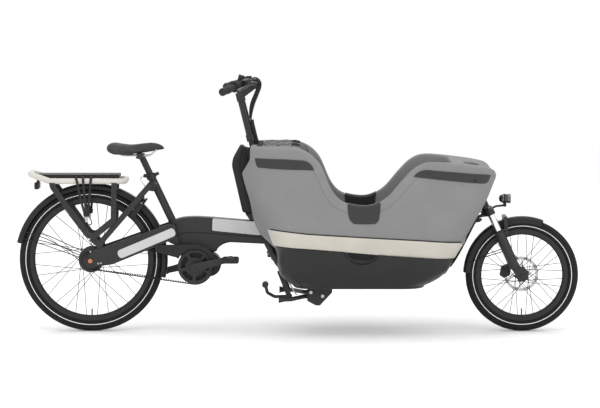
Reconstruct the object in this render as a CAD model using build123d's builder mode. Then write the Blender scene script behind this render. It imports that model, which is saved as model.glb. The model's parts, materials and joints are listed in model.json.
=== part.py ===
from build123d import *
import os
from math import acos, atan2, cos, degrees, radians, sin

# A two-wheel cargo bicycle with a child-carrying box in front of the rider.
# Millimetres. +X is forward, +Y is the rider's left, +Z is up. The ground is z = 0.
os.makedirs("parts", exist_ok=True)

# Wheels: 26 inch behind, 20 inch in front
REAR_TYRE_R = 330
REAR_RIM_R = 258
FRONT_TYRE_R = 258
FRONT_RIM_R = 185
TYRE_HALF_WIDTH = 26
REAR_X = -944
FRONT_X = 1025
SPOKES = 32
AXLE_R = 6
RUNNING = 0.05

# Rear end and drive
CRANK_X = -469
CRANK_Z = 301
CRANK_LENGTH = 170
CRANK_ANGLE = 14
CRANK_AXLE_R = 10
FRONT_SPROCKET_R = 79
REAR_SPROCKET_R = 38.5
STAY_IN = 66
STAY_OUT = 82
SEAT_TUBE_FOOT = (-549, 0, 454)
SEAT_TUBE_UP = Vector(-126, 0, 266).normalized()
SEAT_TUBE_LENGTH = 294
SEAT_POST_R = 15
REAR_GUARD_R = 348
FRONT_GUARD_R = 268

# Rack
RACK_Z = 693
RACK_TUBE_R = 13
RACK_HALF_WIDTH = 75
RACK_PLATE_TOP = 722

# Steering: each axis is a point on it and its lean back from vertical
STEERER_R = 14.3
COLUMN_X = -210
COLUMN_Z = 864
COLUMN_LEAN = 13.9
FORK_X = 905.4
FORK_Z = 446.8
FORK_LEAN = 24.5
STANCHION_R = 15
STANCHION_Y = 65
STANCHION_AHEAD = 15
STEER_ARM = 45
ROD_R = 6.5

# Handlebar
BAR_X = -191
BAR_Z = 1131
BAR_R = 11.1
GRIP_IN = Vector(-268, 190, 1131)
GRIP_OUT = Vector(-331, 300, 1108)

# Box: sections are (z, rear x, front x, half width, corner radius)
TUB_OUTER = [
    (300, -66, 660, 226, 105),
    (450, -143, 772, 288, 140),
    (620, -218, 853, 311, 150),
    (862, -262, 952, 322, 150),
]
TUB_CAVITY = [
    (320, 0, 606, 198, 70),
    (450, 4, 640, 250, 80),
    (620, 8, 672, 273, 90),
    (875, 12, 700, 284, 90),
]
SHELL_OUTER = [
    (212, 0, 545, 188, 90),
    (240, -48, 610, 216, 100),
    (310, -92, 687, 256, 120),
    (405, -112, 746, 284, 140),
]
SHELL_WALL = 8
DECK_Z = 858
ENTRY_Z = 601
RAIL_R = 16
CHANNEL_HALF_WIDTH = 60

# Stand
STAND_X = 80
STAND_Z = 168
STAND_PIN_R = 8
LEVER_X = -39
LEVER_Z = 167
LEVER_PIN_R = 6

GRIP_DIRECTION = (GRIP_OUT - GRIP_IN).normalized()
COLUMN_UP = Vector(-sin(radians(COLUMN_LEAN)), 0, cos(radians(COLUMN_LEAN)))
COLUMN_AHEAD = Vector(cos(radians(COLUMN_LEAN)), 0, sin(radians(COLUMN_LEAN)))
FORK_UP = Vector(-sin(radians(FORK_LEAN)), 0, cos(radians(FORK_LEAN)))
FORK_AHEAD = Vector(cos(radians(FORK_LEAN)), 0, sin(radians(FORK_LEAN)))


def write(made, name):
    """Labels one finished piece and writes its STEP file."""
    made.part.label = name
    export_step(made.part, f"parts/{name}.step")


def side(y=0):
    """The plane at this y that faces the right-hand side: its x is X and its y is Z."""
    return Plane.XZ.offset(-y)


def slab(outline, y_low, y_high, corner=0):
    """A flat plate between two y values, from its outline in X and Z."""
    with BuildPart() as made:
        with BuildSketch(side(y_high)) as face:
            with BuildLine():
                Polyline(*outline, close=True)
            make_face()
            if corner:
                fillet(face.vertices(), corner)
        extrude(amount=y_high - y_low)
    return made.part


def strip(points, width, y_low, y_high, bend):
    """A flat bar of constant width between two y values, along a bent line in X and Z."""
    with BuildPart() as made:
        with BuildSketch(side(y_high)):
            with BuildLine():
                if len(points) > 2:
                    FilletPolyline(*points, radius=bend)
                else:
                    Line(*points)
            trace(line_width=width)
        extrude(amount=y_high - y_low)
    return made.part


def drum(x, z, radius, y_low, y_high, bore=0):
    """A cylinder along Y, with an optional bore."""
    with BuildPart() as made:
        with BuildSketch(side(y_high)):
            with Locations((x, z)):
                Circle(radius)
                if bore:
                    Circle(bore, mode=Mode.SUBTRACT)
        extrude(amount=y_high - y_low)
    return made.part


def tube(points, radius, bend=20):
    """A round bar along a line whose corners are rounded."""
    with BuildPart() as made:
        with BuildLine():
            if len(points) > 2:
                path = FilletPolyline(*points, radius=bend)
            else:
                path = Line(*points)
        with BuildSketch(Plane(origin=path @ 0, z_dir=path % 0)):
            Circle(radius)
        sweep()
    return made.part


def turned(x, z, outline, start=0, arc=360):
    """A solid turned about the Y line through (x, z). The outline is (radius, y)."""
    out = (cos(radians(start)), 0, sin(radians(start)))
    up = (-sin(radians(start)), 0, cos(radians(start)))
    with BuildPart() as made:
        with BuildSketch(Plane((x, 0, z), x_dir=out, z_dir=up)):
            with BuildLine():
                Polyline(*outline, close=True)
            make_face()
        revolve(axis=Axis((x, 0, z), (0, -1, 0)), revolution_arc=arc)
    return made.part


def column_plane(z):
    """The plane square to the steering column at the height z on its axis."""
    x = COLUMN_X - (z - COLUMN_Z) * sin(radians(COLUMN_LEAN)) / cos(radians(COLUMN_LEAN))
    return Plane((x, 0, z), x_dir=COLUMN_AHEAD, z_dir=COLUMN_UP)


def fork_plane(along):
    """The plane square to the fork's steering axis, this far up it from its lower point."""
    return Plane(Vector(FORK_X, 0, FORK_Z) + FORK_UP * along, x_dir=FORK_AHEAD, z_dir=FORK_UP)


def ring_on(plane, radius, length, bore):
    """A ring standing on a plane about the plane's own axis."""
    with BuildPart() as made:
        with BuildSketch(plane):
            Circle(radius)
            if bore:
                Circle(bore, mode=Mode.SUBTRACT)
        extrude(amount=length)
    return made.part


def box_loft(sections, grow=0):
    """A smooth tub through rounded rectangles, grown outwards by a wall or a gap."""
    with BuildPart() as made:
        for z, x_rear, x_front, half_width, corner in sections:
            with BuildSketch(Plane.XY.offset(z)):
                with Locations(((x_rear + x_front) / 2, 0)):
                    RectangleRounded(
                        x_front - x_rear + 2 * grow, 2 * (half_width + grow), corner + grow
                    )
        loft()
    return made.part


# ---------------------------------------------------------------- frame
HEAD_TUBE_R = 25
HEAD_TUBE_LOW = 385
HEAD_TUBE_LENGTH = 476
FRONT_HEAD_LOW = 128
FRONT_HEAD_LENGTH = 74
BEARING_R = 20
BEARING_HEIGHT = 12

column_space = ring_on(column_plane(340), HEAD_TUBE_R, 560, 0)

with BuildPart() as head_tubes:
    for plane, length in (
        (column_plane(HEAD_TUBE_LOW), HEAD_TUBE_LENGTH),
        (fork_plane(FRONT_HEAD_LOW), FRONT_HEAD_LENGTH),
    ):
        add(ring_on(plane, HEAD_TUBE_R, length, BEARING_R - 2))
        for start in (0, length - BEARING_HEIGHT):
            add(ring_on(plane.offset(start), BEARING_R, BEARING_HEIGHT, 0), mode=Mode.SUBTRACT)
write(head_tubes, "head_tubes")

with BuildPart() as headset_bearings:
    for plane, length in (
        (column_plane(HEAD_TUBE_LOW), HEAD_TUBE_LENGTH),
        (fork_plane(FRONT_HEAD_LOW), FRONT_HEAD_LENGTH),
    ):
        for start in (0, length - BEARING_HEIGHT):
            add(ring_on(plane.offset(start), BEARING_R, BEARING_HEIGHT, STEERER_R + RUNNING))
write(headset_bearings, "headset_bearings")

BEAM_HALF_WIDTH = 35
with BuildPart() as main_beam:
    with BuildSketch(side(BEAM_HALF_WIDTH)) as beam_side:
        with BuildLine():
            Spline((-575, 505), (-500, 526), (-389, 523), tangents=[(0.8, 0.6), (1, -0.07)])
            Polyline((-389, 523), (-193, 507), (-118, 500), (-94, 399), (-300, 409))
            Spline((-300, 409), (-345, 398), (-372, 367), tangents=[(-1, 0.03), (-0.3, -1)])
            Polyline((-372, 367), (-540, 367), (-575, 412), (-575, 505))
        make_face()
    extrude(amount=2 * BEAM_HALF_WIDTH)
    long_edges = main_beam.edges().filter_by(lambda e: abs(abs(e.center().Y) - 35) < 0.1)
    fillet(long_edges, 9)
    add(slab([(-604, 422), (-604, 478), (-560, 497), (-540, 400), (-570, 405)], -STAY_IN, STAY_IN))
    add(ring_on(Plane(SEAT_TUBE_FOOT, z_dir=SEAT_TUBE_UP), 18, SEAT_TUBE_LENGTH, 0))
    add(slab([(-698, 652), (-672, 692), (-640, 680), (-655, 645)], -STAY_IN, STAY_IN, 6))
    post_bore_foot = Vector(*SEAT_TUBE_FOOT) + SEAT_TUBE_UP * 50
    add(
        ring_on(Plane(post_bore_foot, z_dir=SEAT_TUBE_UP), SEAT_POST_R + RUNNING, 300, 0),
        mode=Mode.SUBTRACT,
    )
    battery_foot = slab([(-240, 540), (-152, 543), (-146, 496), (-215, 505)], -30, 30)
    add(battery_foot)
    add(column_space, mode=Mode.SUBTRACT)
write(main_beam, "main_beam")

with BuildPart() as rear_stays:
    add(
        slab(
            [(-976, 345), (-925, 378), (-582, 499), (-556, 490), (-556, 432), (-842, 314), (-955, 298)],
            STAY_IN, STAY_OUT, 12,
        )
    )
    add(strip([(-908, 330), (-898, 411), (-668, 679)], 25, STAY_IN, STAY_OUT - 4, 30))
    add(strip([(-900, 398), (-941, 433)], 26, STAY_IN, STAY_OUT - 4, 0))
    add(drum(REAR_X, REAR_TYRE_R, AXLE_R, STAY_IN, STAY_OUT), mode=Mode.SUBTRACT)
    mirror(about=Plane.XZ)
write(rear_stays, "rear_stays")

with BuildPart() as frame_inlays:
    add(
        slab(
            [(-389, 521), (-193, 505), (-166, 442), (-391, 464)],
            BEAM_HALF_WIDTH, BEAM_HALF_WIDTH + 3, 7,
        )
    )
    with BuildSketch(side(STAY_OUT + 3)):
        with Locations(Location((-688, 411), degrees(atan2(100, 237)))):
            RectangleRounded(280, 39, 16)
    extrude(amount=3)
    mirror(about=Plane.XZ)
write(frame_inlays, "frame_inlays")


def rail(y_side, radius):
    """One carrier rail, from the main beam under the box to the front head tube."""
    route = [
        (-152, 0, 452), (-138, 84, 410), (-92, 123, 330), (-30, 125, 251), (575, 125, 251),
        (662, 86, 285), (745, 78, 425), (774, 78, 500), (792, 58, 572), (824, 0, 612),
    ]
    return tube([(x, y_side * y, z) for x, y, z in route], radius, 24)


front_head_space = ring_on(fork_plane(80), HEAD_TUBE_R, 200, 0)
with BuildPart() as cargo_rails:
    add(rail(1, RAIL_R))
    add(rail(-1, RAIL_R))
    for x in (60, 420):
        add(slab([(x - 12, 241), (x + 12, 241), (x + 12, 236), (x - 12, 236)], -125, 125))
    add(main_beam.part, mode=Mode.SUBTRACT)
    add(column_space, mode=Mode.SUBTRACT)
    add(front_head_space, mode=Mode.SUBTRACT)
write(cargo_rails, "cargo_rails")
rail_space = [rail(1, RAIL_R + 2), rail(-1, RAIL_R + 2)]

with BuildPart() as seat_clamp:
    seat_tube_top = Vector(*SEAT_TUBE_FOOT) + SEAT_TUBE_UP * (SEAT_TUBE_LENGTH - 22)
    clamp_plane = Plane(seat_tube_top, x_dir=(0.9, 0, 0.43), z_dir=SEAT_TUBE_UP)
    add(ring_on(clamp_plane, 23, 20, 18.05))
    with BuildSketch(clamp_plane.offset(3)):
        with Locations((30, 0)):
            Rectangle(16, 18)
    extrude(amount=14)
write(seat_clamp, "seat_clamp")

# ---------------------------------------------------------------- wheels


def tyre(x, outer_r, rim_r):
    """A hollow tyre that closes on the rim's two flanges."""
    centre = outer_r - TYRE_HALF_WIDTH
    bead = rim_r + 23
    with BuildPart() as made:
        with BuildSketch(Plane((x, 0, outer_r))):
            with Locations((centre, 0)):
                Circle(TYRE_HALF_WIDTH)
                Circle(TYRE_HALF_WIDTH - 5, mode=Mode.SUBTRACT)
            with Locations((bead, 0)):
                Rectangle(14, 26, mode=Mode.SUBTRACT)
        revolve(axis=Axis((x, 0, outer_r), (0, 1, 0)))
    return made


def rim(x, outer_r, rim_r):
    """A double-wall rim with its valve at the bottom."""
    lip = rim_r + 29
    with BuildPart() as made:
        add(
            turned(
                x, outer_r,
                [
                    (rim_r, -7), (rim_r, 7), (rim_r + 6, 13), (lip, 13), (lip, 11),
                    (rim_r + 20, 11), (rim_r + 17, 6), (rim_r + 17, -6), (rim_r + 20, -11),
                    (lip, -11), (lip, -13), (rim_r + 6, -13),
                ],
            )
        )
        with BuildSketch(Plane((x, 0, outer_r - rim_r - 8))):
            Circle(3)
        extrude(amount=38)
    return made


def spokes(x, axle_z, rim_r, flange_r, flange_y, lace):
    """Crossed spokes: the outer row of each flange leads, the inner row trails."""
    ends = []
    for number in range(SPOKES):
        at_rim = 360 / SPOKES * (number + 0.5)
        flange_side = 1 if number % 2 else -1
        outside = number % 4 < 2
        at_hub = at_rim + (lace if outside else -lace)
        hub_y = flange_side * (flange_y + (2.2 if outside else -2.2))
        rim_y = flange_side * (3.4 if outside else 1.0)
        start = Vector(
            x + flange_r * cos(radians(at_hub)), hub_y, axle_z + flange_r * sin(radians(at_hub))
        )
        end = Vector(
            x + (rim_r - 0.5) * cos(radians(at_rim)), rim_y, axle_z + (rim_r - 0.5) * sin(radians(at_rim))
        )
        ends.append((start, end))
    with BuildPart() as made:
        for start, end in ends:
            with BuildSketch(Plane(origin=start, z_dir=end - start)):
                Circle(0.95)
            extrude(amount=(end - start).length)
    return made


rear_tyre = tyre(REAR_X, REAR_TYRE_R, REAR_RIM_R)
write(rear_tyre, "rear_tyre")
front_tyre = tyre(FRONT_X, FRONT_TYRE_R, FRONT_RIM_R)
write(front_tyre, "front_tyre")
rear_rim = rim(REAR_X, REAR_TYRE_R, REAR_RIM_R)
write(rear_rim, "rear_rim")
front_rim = rim(FRONT_X, FRONT_TYRE_R, FRONT_RIM_R)
write(front_rim, "front_rim")

REAR_FLANGE_R = 58
REAR_FLANGE_Y = 30
FRONT_FLANGE_R = 29
FRONT_FLANGE_Y = 26
rear_spokes = spokes(REAR_X, REAR_TYRE_R, REAR_RIM_R, REAR_FLANGE_R + 0.5, REAR_FLANGE_Y, 40)
write(rear_spokes, "rear_spokes")
front_spokes = spokes(FRONT_X, FRONT_TYRE_R, FRONT_RIM_R, FRONT_FLANGE_R + 0.5, FRONT_FLANGE_Y, 67.5)
write(front_spokes, "front_spokes")

BELT_Y = (-62, -51)
with BuildPart() as rear_hub:
    add(
        turned(
            REAR_X, REAR_TYRE_R,
            [
                (AXLE_R + RUNNING, -64), (20, -64), (20, BELT_Y[0] - 1), (REAR_SPROCKET_R, BELT_Y[0] - 1),
                (REAR_SPROCKET_R, BELT_Y[1] + 1), (26, BELT_Y[1] + 1), (26, -44), (50, -38),
                (54, -35), (REAR_FLANGE_R, -34.5), (REAR_FLANGE_R, -25.5), (53, -25), (53, 25),
                (REAR_FLANGE_R, 25.5), (REAR_FLANGE_R, 34.5), (54, 35), (48, 40), (22, 46),
                (20, 64), (AXLE_R + RUNNING, 64),
            ],
        )
    )
write(rear_hub, "rear_hub")

ROTOR_R = 80
ROTOR_Y = 37
with BuildPart() as front_hub:
    add(
        turned(
            FRONT_X, FRONT_TYRE_R,
            [
                (AXLE_R + RUNNING, -49.5), (11, -49.5), (14, -33), (16, -31), (FRONT_FLANGE_R, -30.5),
                (FRONT_FLANGE_R, -21.5), (17, -20), (17, 20), (FRONT_FLANGE_R, 21.5),
                (FRONT_FLANGE_R, 30.5), (22, 31), (22, ROTOR_Y - 1), (11, ROTOR_Y - 1), (11, 49.5),
                (AXLE_R + RUNNING, 49.5),
            ],
        )
    )
write(front_hub, "front_hub")

with BuildPart() as brake_disc:
    add(drum(FRONT_X, FRONT_TYRE_R, ROTOR_R, ROTOR_Y - 1, ROTOR_Y + 1, ROTOR_R - 14))
    add(drum(FRONT_X, FRONT_TYRE_R, 24, ROTOR_Y - 1, ROTOR_Y + 1, 11))
    for number in range(6):
        angle = radians(60 * number)
        slant = radians(60 * number + 28)
        add(
            strip(
                [
                    (FRONT_X + 20 * cos(angle), FRONT_TYRE_R + 20 * sin(angle)),
                    (FRONT_X + 70 * cos(slant), FRONT_TYRE_R + 70 * sin(slant)),
                ],
                6, ROTOR_Y - 1, ROTOR_Y + 1, 0,
            )
        )
write(brake_disc, "brake_disc")

with BuildPart() as rear_axle:
    add(drum(REAR_X, REAR_TYRE_R, AXLE_R, -92, 92))
    for y_low, y_high in ((STAY_OUT + 0.2, 91), (-91, -STAY_OUT - 0.2)):
        with BuildSketch(side(y_high)):
            with Locations((REAR_X, REAR_TYRE_R)):
                RegularPolygon(11, 6)
        extrude(amount=y_high - y_low)
write(rear_axle, "rear_axle")

# ---------------------------------------------------------------- drive
MOTOR_HALF_WIDTH = 45
with BuildPart() as motor:
    with BuildSketch(side(MOTOR_HALF_WIDTH)):
        with Locations((CRANK_X, CRANK_Z)):
            Circle(71)
        with Locations((CRANK_X + 64, CRANK_Z + 8)):
            Circle(54)
        with Locations((CRANK_X + 10, 346)):
            Rectangle(150, 40)
    extrude(amount=2 * MOTOR_HALF_WIDTH)
    add(slab([(-700, 366.5), (-200, 366.5), (-200, 500), (-700, 500)], -60, 60), mode=Mode.SUBTRACT)
    add(drum(CRANK_X, CRANK_Z, CRANK_AXLE_R + RUNNING, -60, 60), mode=Mode.SUBTRACT)
write(motor, "motor")


def belt_face(gap):
    """The belt's loop round both sprockets, this far outside them."""
    with BuildPart() as made:
        with BuildSketch(side(BELT_Y[1])):
            with Locations((REAR_X, REAR_TYRE_R)):
                Circle(REAR_SPROCKET_R + gap)
            with Locations((CRANK_X, CRANK_Z)):
                Circle(FRONT_SPROCKET_R + gap)
            make_hull()
        extrude(amount=BELT_Y[1] - BELT_Y[0])
    return made.part


with BuildPart() as drive_belt:
    add(belt_face(4))
    add(belt_face(0.4), mode=Mode.SUBTRACT)
write(drive_belt, "drive_belt")

GUARD_Y = (-90, -86.5)
with BuildPart() as belt_guard:
    add(slab([(-649, 404), (-455, 406), (-455, 320), (-550, 345), (-646, 371)], *GUARD_Y, 5))
    add(
        turned(
            CRANK_X, CRANK_Z,
            [(84, GUARD_Y[0]), (104, GUARD_Y[0]), (104, GUARD_Y[1]), (84, GUARD_Y[1])], 22, 130,
        )
    )
    add(drum(CRANK_X, CRANK_Z, 84, *GUARD_Y), mode=Mode.SUBTRACT)
    add(drum(-535, 394, 5, GUARD_Y[1], -BEAM_HALF_WIDTH))
    add(drum(-480, 396, 5, GUARD_Y[1], -BEAM_HALF_WIDTH))
write(belt_guard, "belt_guard")

ARM_Y = (-110, -96)
ARM_DIRECTION = Vector(cos(radians(CRANK_ANGLE)), 0, sin(radians(CRANK_ANGLE)))
PEDAL_RIGHT = Vector(CRANK_X, 0, CRANK_Z) + ARM_DIRECTION * CRANK_LENGTH
PEDAL_LEFT = Vector(CRANK_X, 0, CRANK_Z) - ARM_DIRECTION * CRANK_LENGTH


def crank_arm(end, y_low, y_high):
    """A crank arm that narrows from the axle to the pedal."""
    with BuildPart() as made:
        with BuildSketch(side(y_high)):
            with Locations((CRANK_X, CRANK_Z)):
                Circle(19)
            with Locations((end.X, end.Z)):
                Circle(13)
            make_hull()
        extrude(amount=y_high - y_low)
    return made.part


with BuildPart() as crankset:
    add(drum(CRANK_X, CRANK_Z, CRANK_AXLE_R, -108, 108))
    add(crank_arm(PEDAL_RIGHT, *ARM_Y))
    add(crank_arm(PEDAL_LEFT, -ARM_Y[1], -ARM_Y[0]))
    add(drum(CRANK_X, CRANK_Z, FRONT_SPROCKET_R, -66, -50, 64))
    add(drum(CRANK_X, CRANK_Z, 43, -66, -56, CRANK_AXLE_R))
    add(drum(CRANK_X, CRANK_Z, 17, ARM_Y[0], -60, CRANK_AXLE_R))
    for number in range(5):
        angle = radians(CRANK_ANGLE + 36 + 72 * number)
        add(
            strip(
                [
                    (CRANK_X + 40 * cos(angle), CRANK_Z + 40 * sin(angle)),
                    (CRANK_X + 67 * cos(angle), CRANK_Z + 67 * sin(angle)),
                ],
                15, -66, -58, 0,
            )
        )
    add(drum(PEDAL_RIGHT.X, PEDAL_RIGHT.Z, 6, -204, ARM_Y[0] + 1))
    add(drum(PEDAL_LEFT.X, PEDAL_LEFT.Z, 6, -ARM_Y[0] - 1, 204))
write(crankset, "crankset")


def pedal(centre, y_low, y_high):
    """A platform pedal: an open cage round a bored spindle barrel."""
    with BuildPart() as made:
        with BuildSketch(side(y_high)):
            with Locations((centre.X, centre.Z)):
                RectangleRounded(76, 24, 9)
        extrude(amount=y_high - y_low)
        for shift in (-24, 24):
            x = centre.X + shift
            low, high = centre.Z - 20, centre.Z + 20
            window = [(x - 9, low), (x + 9, low), (x + 9, high), (x - 9, high)]
            add(slab(window, y_low + 10, y_high - 10), mode=Mode.SUBTRACT)
        add(drum(centre.X, centre.Z, 6 + RUNNING, y_low - 5, y_high + 5), mode=Mode.SUBTRACT)
    return made


pedal_right = pedal(PEDAL_RIGHT, -206, -116)
write(pedal_right, "pedal_right")
pedal_left = pedal(PEDAL_LEFT, 116, 206)
write(pedal_left, "pedal_left")

# ---------------------------------------------------------------- mudguards and rack


def guard_blade(x, z, radius, half_width, skirt, start, arc):
    """A rolled mudguard blade: a flat crown with two deep turned-down sides."""
    return turned(
        x, z,
        [
            (radius, -half_width + 9), (radius, half_width - 9), (radius - 9, half_width),
            (radius - skirt, half_width), (radius - skirt, half_width - 2),
            (radius - 10, half_width - 2), (radius - 2.5, half_width - 10),
            (radius - 2.5, -half_width + 10), (radius - 10, -half_width + 2),
            (radius - skirt, -half_width + 2), (radius - skirt, -half_width), (radius - 9, -half_width),
        ],
        start, arc,
    )


REAR_GUARD_END = 180 - degrees(acos((1283 + REAR_X) / REAR_GUARD_R))
with BuildPart() as rear_mudguard:
    add(guard_blade(REAR_X, REAR_TYRE_R, REAR_GUARD_R, 32, 25, -14, REAR_GUARD_END + 14))
    for sign in (1, -1):
        for z_guard, z_hub in ((462, 356), (430, 346)):
            add(
                tube(
                    [
                        (-1257, sign * 34.5, z_guard), (-1150, sign * 66, z_guard - 30),
                        (-1000, sign * 92, z_hub + 4), (-952, sign * 92, z_hub),
                    ],
                    2, 30,
                )
            )
write(rear_mudguard, "rear_mudguard")

with BuildPart() as rack_tube:
    add(
        tube(
            [
                (-786, 0, RACK_Z), (-786, RACK_HALF_WIDTH, RACK_Z), (-1126, RACK_HALF_WIDTH, RACK_Z),
                (-1215, RACK_HALF_WIDTH, 724), (-1215, 0, 724),
            ],
            RACK_TUBE_R, 30,
        )
    )
    mirror(about=Plane.XZ)
write(rack_tube, "rack_tube")

with BuildPart() as rack_platform:
    add(slab([(-1187, 706), (-812, 706), (-812, RACK_PLATE_TOP), (-1187, RACK_PLATE_TOP)], -60, 60, 3))
    for x in (-850, -960, -1070):
        add(slab([(x - 8, 699), (x + 8, 699), (x + 8, 707), (x - 8, 707)], -66, 66))
    add(rack_tube.part, mode=Mode.SUBTRACT)
write(rack_platform, "rack_platform")

RACK_STAY_Y = (80, 86)
with BuildPart() as rack_stays:
    add(
        strip(
            [(-1116, 690), (-1114, 668), (-942, 429), (-838, 512), (-834, 690)], 25,
            *RACK_STAY_Y, 30,
        )
    )
    add(rack_tube.part, mode=Mode.SUBTRACT)
    mirror(about=Plane.XZ)
    add(rack_tube.part, mode=Mode.SUBTRACT)
write(rack_stays, "rack_stays")

with BuildPart() as rack_straps:
    for number, x in enumerate((-1006, -975, -938)):
        x_hook = -967 + 7 * number
        for sign in (1, -1):
            add(
                tube(
                    [
                        (x, sign * 60.5, 716), (x, sign * 80, 712),
                        (x, sign * 93, 698), (x_hook, sign * 91, 542),
                    ],
                    2.5, 8,
                )
            )
    for sign in (1, -1):
        low, high = sorted((sign * 87, sign * 95))
        yoke = [(-974, 542), (-946, 542), (-948, 505), (-953, 476), (-964, 476), (-968, 505)]
        add(slab(yoke, low, high, 3))
write(rack_straps, "rack_straps")

with BuildPart() as tail_light:
    add(slab([(-1199, 653), (-1199, 684), (-1180, 684), (-1180, 653)], -42, 42, 5))
    add(slab([(-1190, 684), (-1190, 706), (-1182, 706), (-1182, 684)], -20, 20))
write(tail_light, "tail_light")

# ---------------------------------------------------------------- ring lock
LOCK_RING_R = 60.5
LOCK_DIRECTION = Vector(106, 0, 150).normalized()
LOCK_ACROSS = Vector(-LOCK_DIRECTION.Z, 0, LOCK_DIRECTION.X)
LOCK_CENTRE = Vector(-717, 0, 584) - LOCK_DIRECTION * 32.4
LOCK_LENGTH = 13


def lock_ring(inner, outer, half_thickness, start, arc):
    """A part ring round the rear tyre, in the plane of Y and the wheel's radius."""
    zero = Vector(0, 1, 0)
    out = zero * cos(radians(start)) + LOCK_DIRECTION * sin(radians(start))
    with BuildPart() as made:
        with BuildSketch(Plane(LOCK_CENTRE, x_dir=out, z_dir=out.cross(LOCK_ACROSS))):
            with Locations(((inner + outer) / 2, 0)):
                Rectangle(outer - inner, 2 * half_thickness)
        revolve(axis=Axis(LOCK_CENTRE, LOCK_ACROSS * -1), revolution_arc=arc)
    return made.part


with BuildPart() as ring_lock:
    add(lock_ring(LOCK_RING_R - 9, LOCK_RING_R + 8.5, LOCK_LENGTH, -42, 264))
    add(lock_ring(LOCK_RING_R - 5.2, LOCK_RING_R + 5.2, 5.2, -43, 266), mode=Mode.SUBTRACT)
    add(lock_ring(LOCK_RING_R + 2, LOCK_RING_R + 20, 4.7, 18, 128), mode=Mode.SUBTRACT)
write(ring_lock, "ring_lock")

with BuildPart() as lock_shackle:
    add(lock_ring(LOCK_RING_R - 4.5, LOCK_RING_R + 4.5, 4.5, 6, 206))
    add(lock_ring(LOCK_RING_R + 4, LOCK_RING_R + 19, 4, 22, 12))
write(lock_shackle, "lock_shackle")

# ---------------------------------------------------------------- battery
with BuildPart() as battery:
    add(
        slab(
            [(-262, 856), (-243, 851), (-162, 545), (-236, 542), (-254, 548), (-302, 762), (-296, 796)],
            -46, 46, 5,
        )
    )
    for y_low, y_high in ((28, 44), (-44, -28)):
        add(slab([(-246, 846), (-220, 840), (-212, 800), (-226, 762), (-234, 762)], y_low, y_high))
    add(battery_foot, mode=Mode.SUBTRACT)
write(battery, "battery")

# ---------------------------------------------------------------- cargo box
with BuildPart() as above_rim:
    with BuildSketch(side(400)):
        with BuildLine():
            Line((-340, DECK_Z), (-30, DECK_Z))
            Spline(
                (-30, DECK_Z), (52, 832), (110, 766), (152, 670), (196, 621), (262, ENTRY_Z),
                (330, ENTRY_Z + 1), (400, 640), (468, 717), (520, 768), (578, 793), (672, 790),
                (832, 769), (878, 752), (900, 712),
            )
            Polyline((900, 712), (1000, 690), (1000, 960), (-340, 960), (-340, DECK_Z))
        make_face()
    extrude(amount=800)
    add(slab([(-340, 742), (-246, 742), (-214, 797), (-214, 900), (-340, 900)], -400, 400))

with BuildPart() as rear_channel:
    add(
        slab(
            [(-400, 236), (-14, 236), (-34, 320), (-62, 420), (-148, 790), (-152, 900), (-400, 900)],
            -CHANNEL_HALF_WIDTH, CHANNEL_HALF_WIDTH,
        )
    )

with BuildPart() as front_channel:
    add(
        slab(
            [
                (566, 200), (596, 262), (690, 400), (730, 500), (750, 570), (785, 650),
                (1000, 650), (1000, 200),
            ],
            -98, 98,
        )
    )

with BuildPart() as cargo_box:
    with BuildPart(mode=Mode.PRIVATE) as cavity:
        add(box_loft(TUB_CAVITY))
        add(slab([(-20, 300), (285, 300), (285, 455), (-20, 455)], -320, 320), mode=Mode.SUBTRACT)
    add(box_loft(TUB_OUTER))
    add(cavity.part, mode=Mode.SUBTRACT)
    add(above_rim.part, mode=Mode.SUBTRACT)
    add(rear_channel.part, mode=Mode.SUBTRACT)
    add(front_channel.part, mode=Mode.SUBTRACT)
    for space in rail_space:
        add(space, mode=Mode.SUBTRACT)
    for x, z in ((-70, DECK_Z), (740, 786)):
        for y in (-235, 235):
            with Locations((x, y, z)):
                Cylinder(8, 90, mode=Mode.SUBTRACT)
    with BuildSketch(Plane.XY.offset(752)):
        with Locations((784, -115)):
            Ellipse(36, 90)
    extrude(amount=60, mode=Mode.SUBTRACT)
    for x, y in ((818, -12), (842, -40), (830, -185)):
        with Locations((x, y, 772)):
            Cylinder(7, 30, mode=Mode.SUBTRACT)
write(cargo_box, "cargo_box")

BAND_OUT = 7
with BuildPart() as cargo_band:
    add(box_loft(TUB_OUTER, BAND_OUT))
    add(box_loft(TUB_OUTER, 0.3), mode=Mode.SUBTRACT)
    add(
        slab(
            [
                (-137, 494), (53, 469), (266, 455), (551, 439), (739, 426.5),
                (716, 353), (408, 372), (195, 390), (-90, 413), (-120, 416),
            ],
            -400, 400, 8,
        ),
        mode=Mode.INTERSECT,
    )
    add(rear_channel.part, mode=Mode.SUBTRACT)
    add(front_channel.part, mode=Mode.SUBTRACT)
    for space in rail_space:
        add(space, mode=Mode.SUBTRACT)
write(cargo_band, "cargo_band")

with BuildPart() as box_trims:
    add(box_loft(TUB_OUTER, 4))
    add(box_loft(TUB_OUTER, 0.3), mode=Mode.SUBTRACT)
    with BuildPart(mode=Mode.PRIVATE) as trim_outlines:
        with BuildSketch(side(400)):
            with BuildLine():
                Polyline((39, 801), (-192, 811), (-180, 772), (-60, 762), (73, 760))
                Spline((73, 760), (60, 784), (39, 801))
            make_face()
            with BuildLine():
                Spline((515, 731), (532, 750), (567, 761))
                Polyline((567, 761), (862, 733), (843, 697), (667, 713), (515, 731))
            make_face()
            with BuildLine():
                Polyline((223, 598), (228, 556))
                Spline((228, 556), (238, 530), (262, 521), (332, 521), (356, 530), (364, 556))
                Polyline((364, 556), (368, 598), (223, 598))
            make_face()
        extrude(amount=800)
    add(trim_outlines.part, mode=Mode.INTERSECT)
write(box_trims, "box_trims")

with BuildPart() as bench_cushions:
    add(slab([(50, 456), (284, 456), (284, 496), (50, 496)], -232, 232, 14))
    add(slab([(18, 457), (46, 457), (46, 800), (24, 800)], -205, 205, 10))
write(bench_cushions, "bench_cushions")

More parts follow.
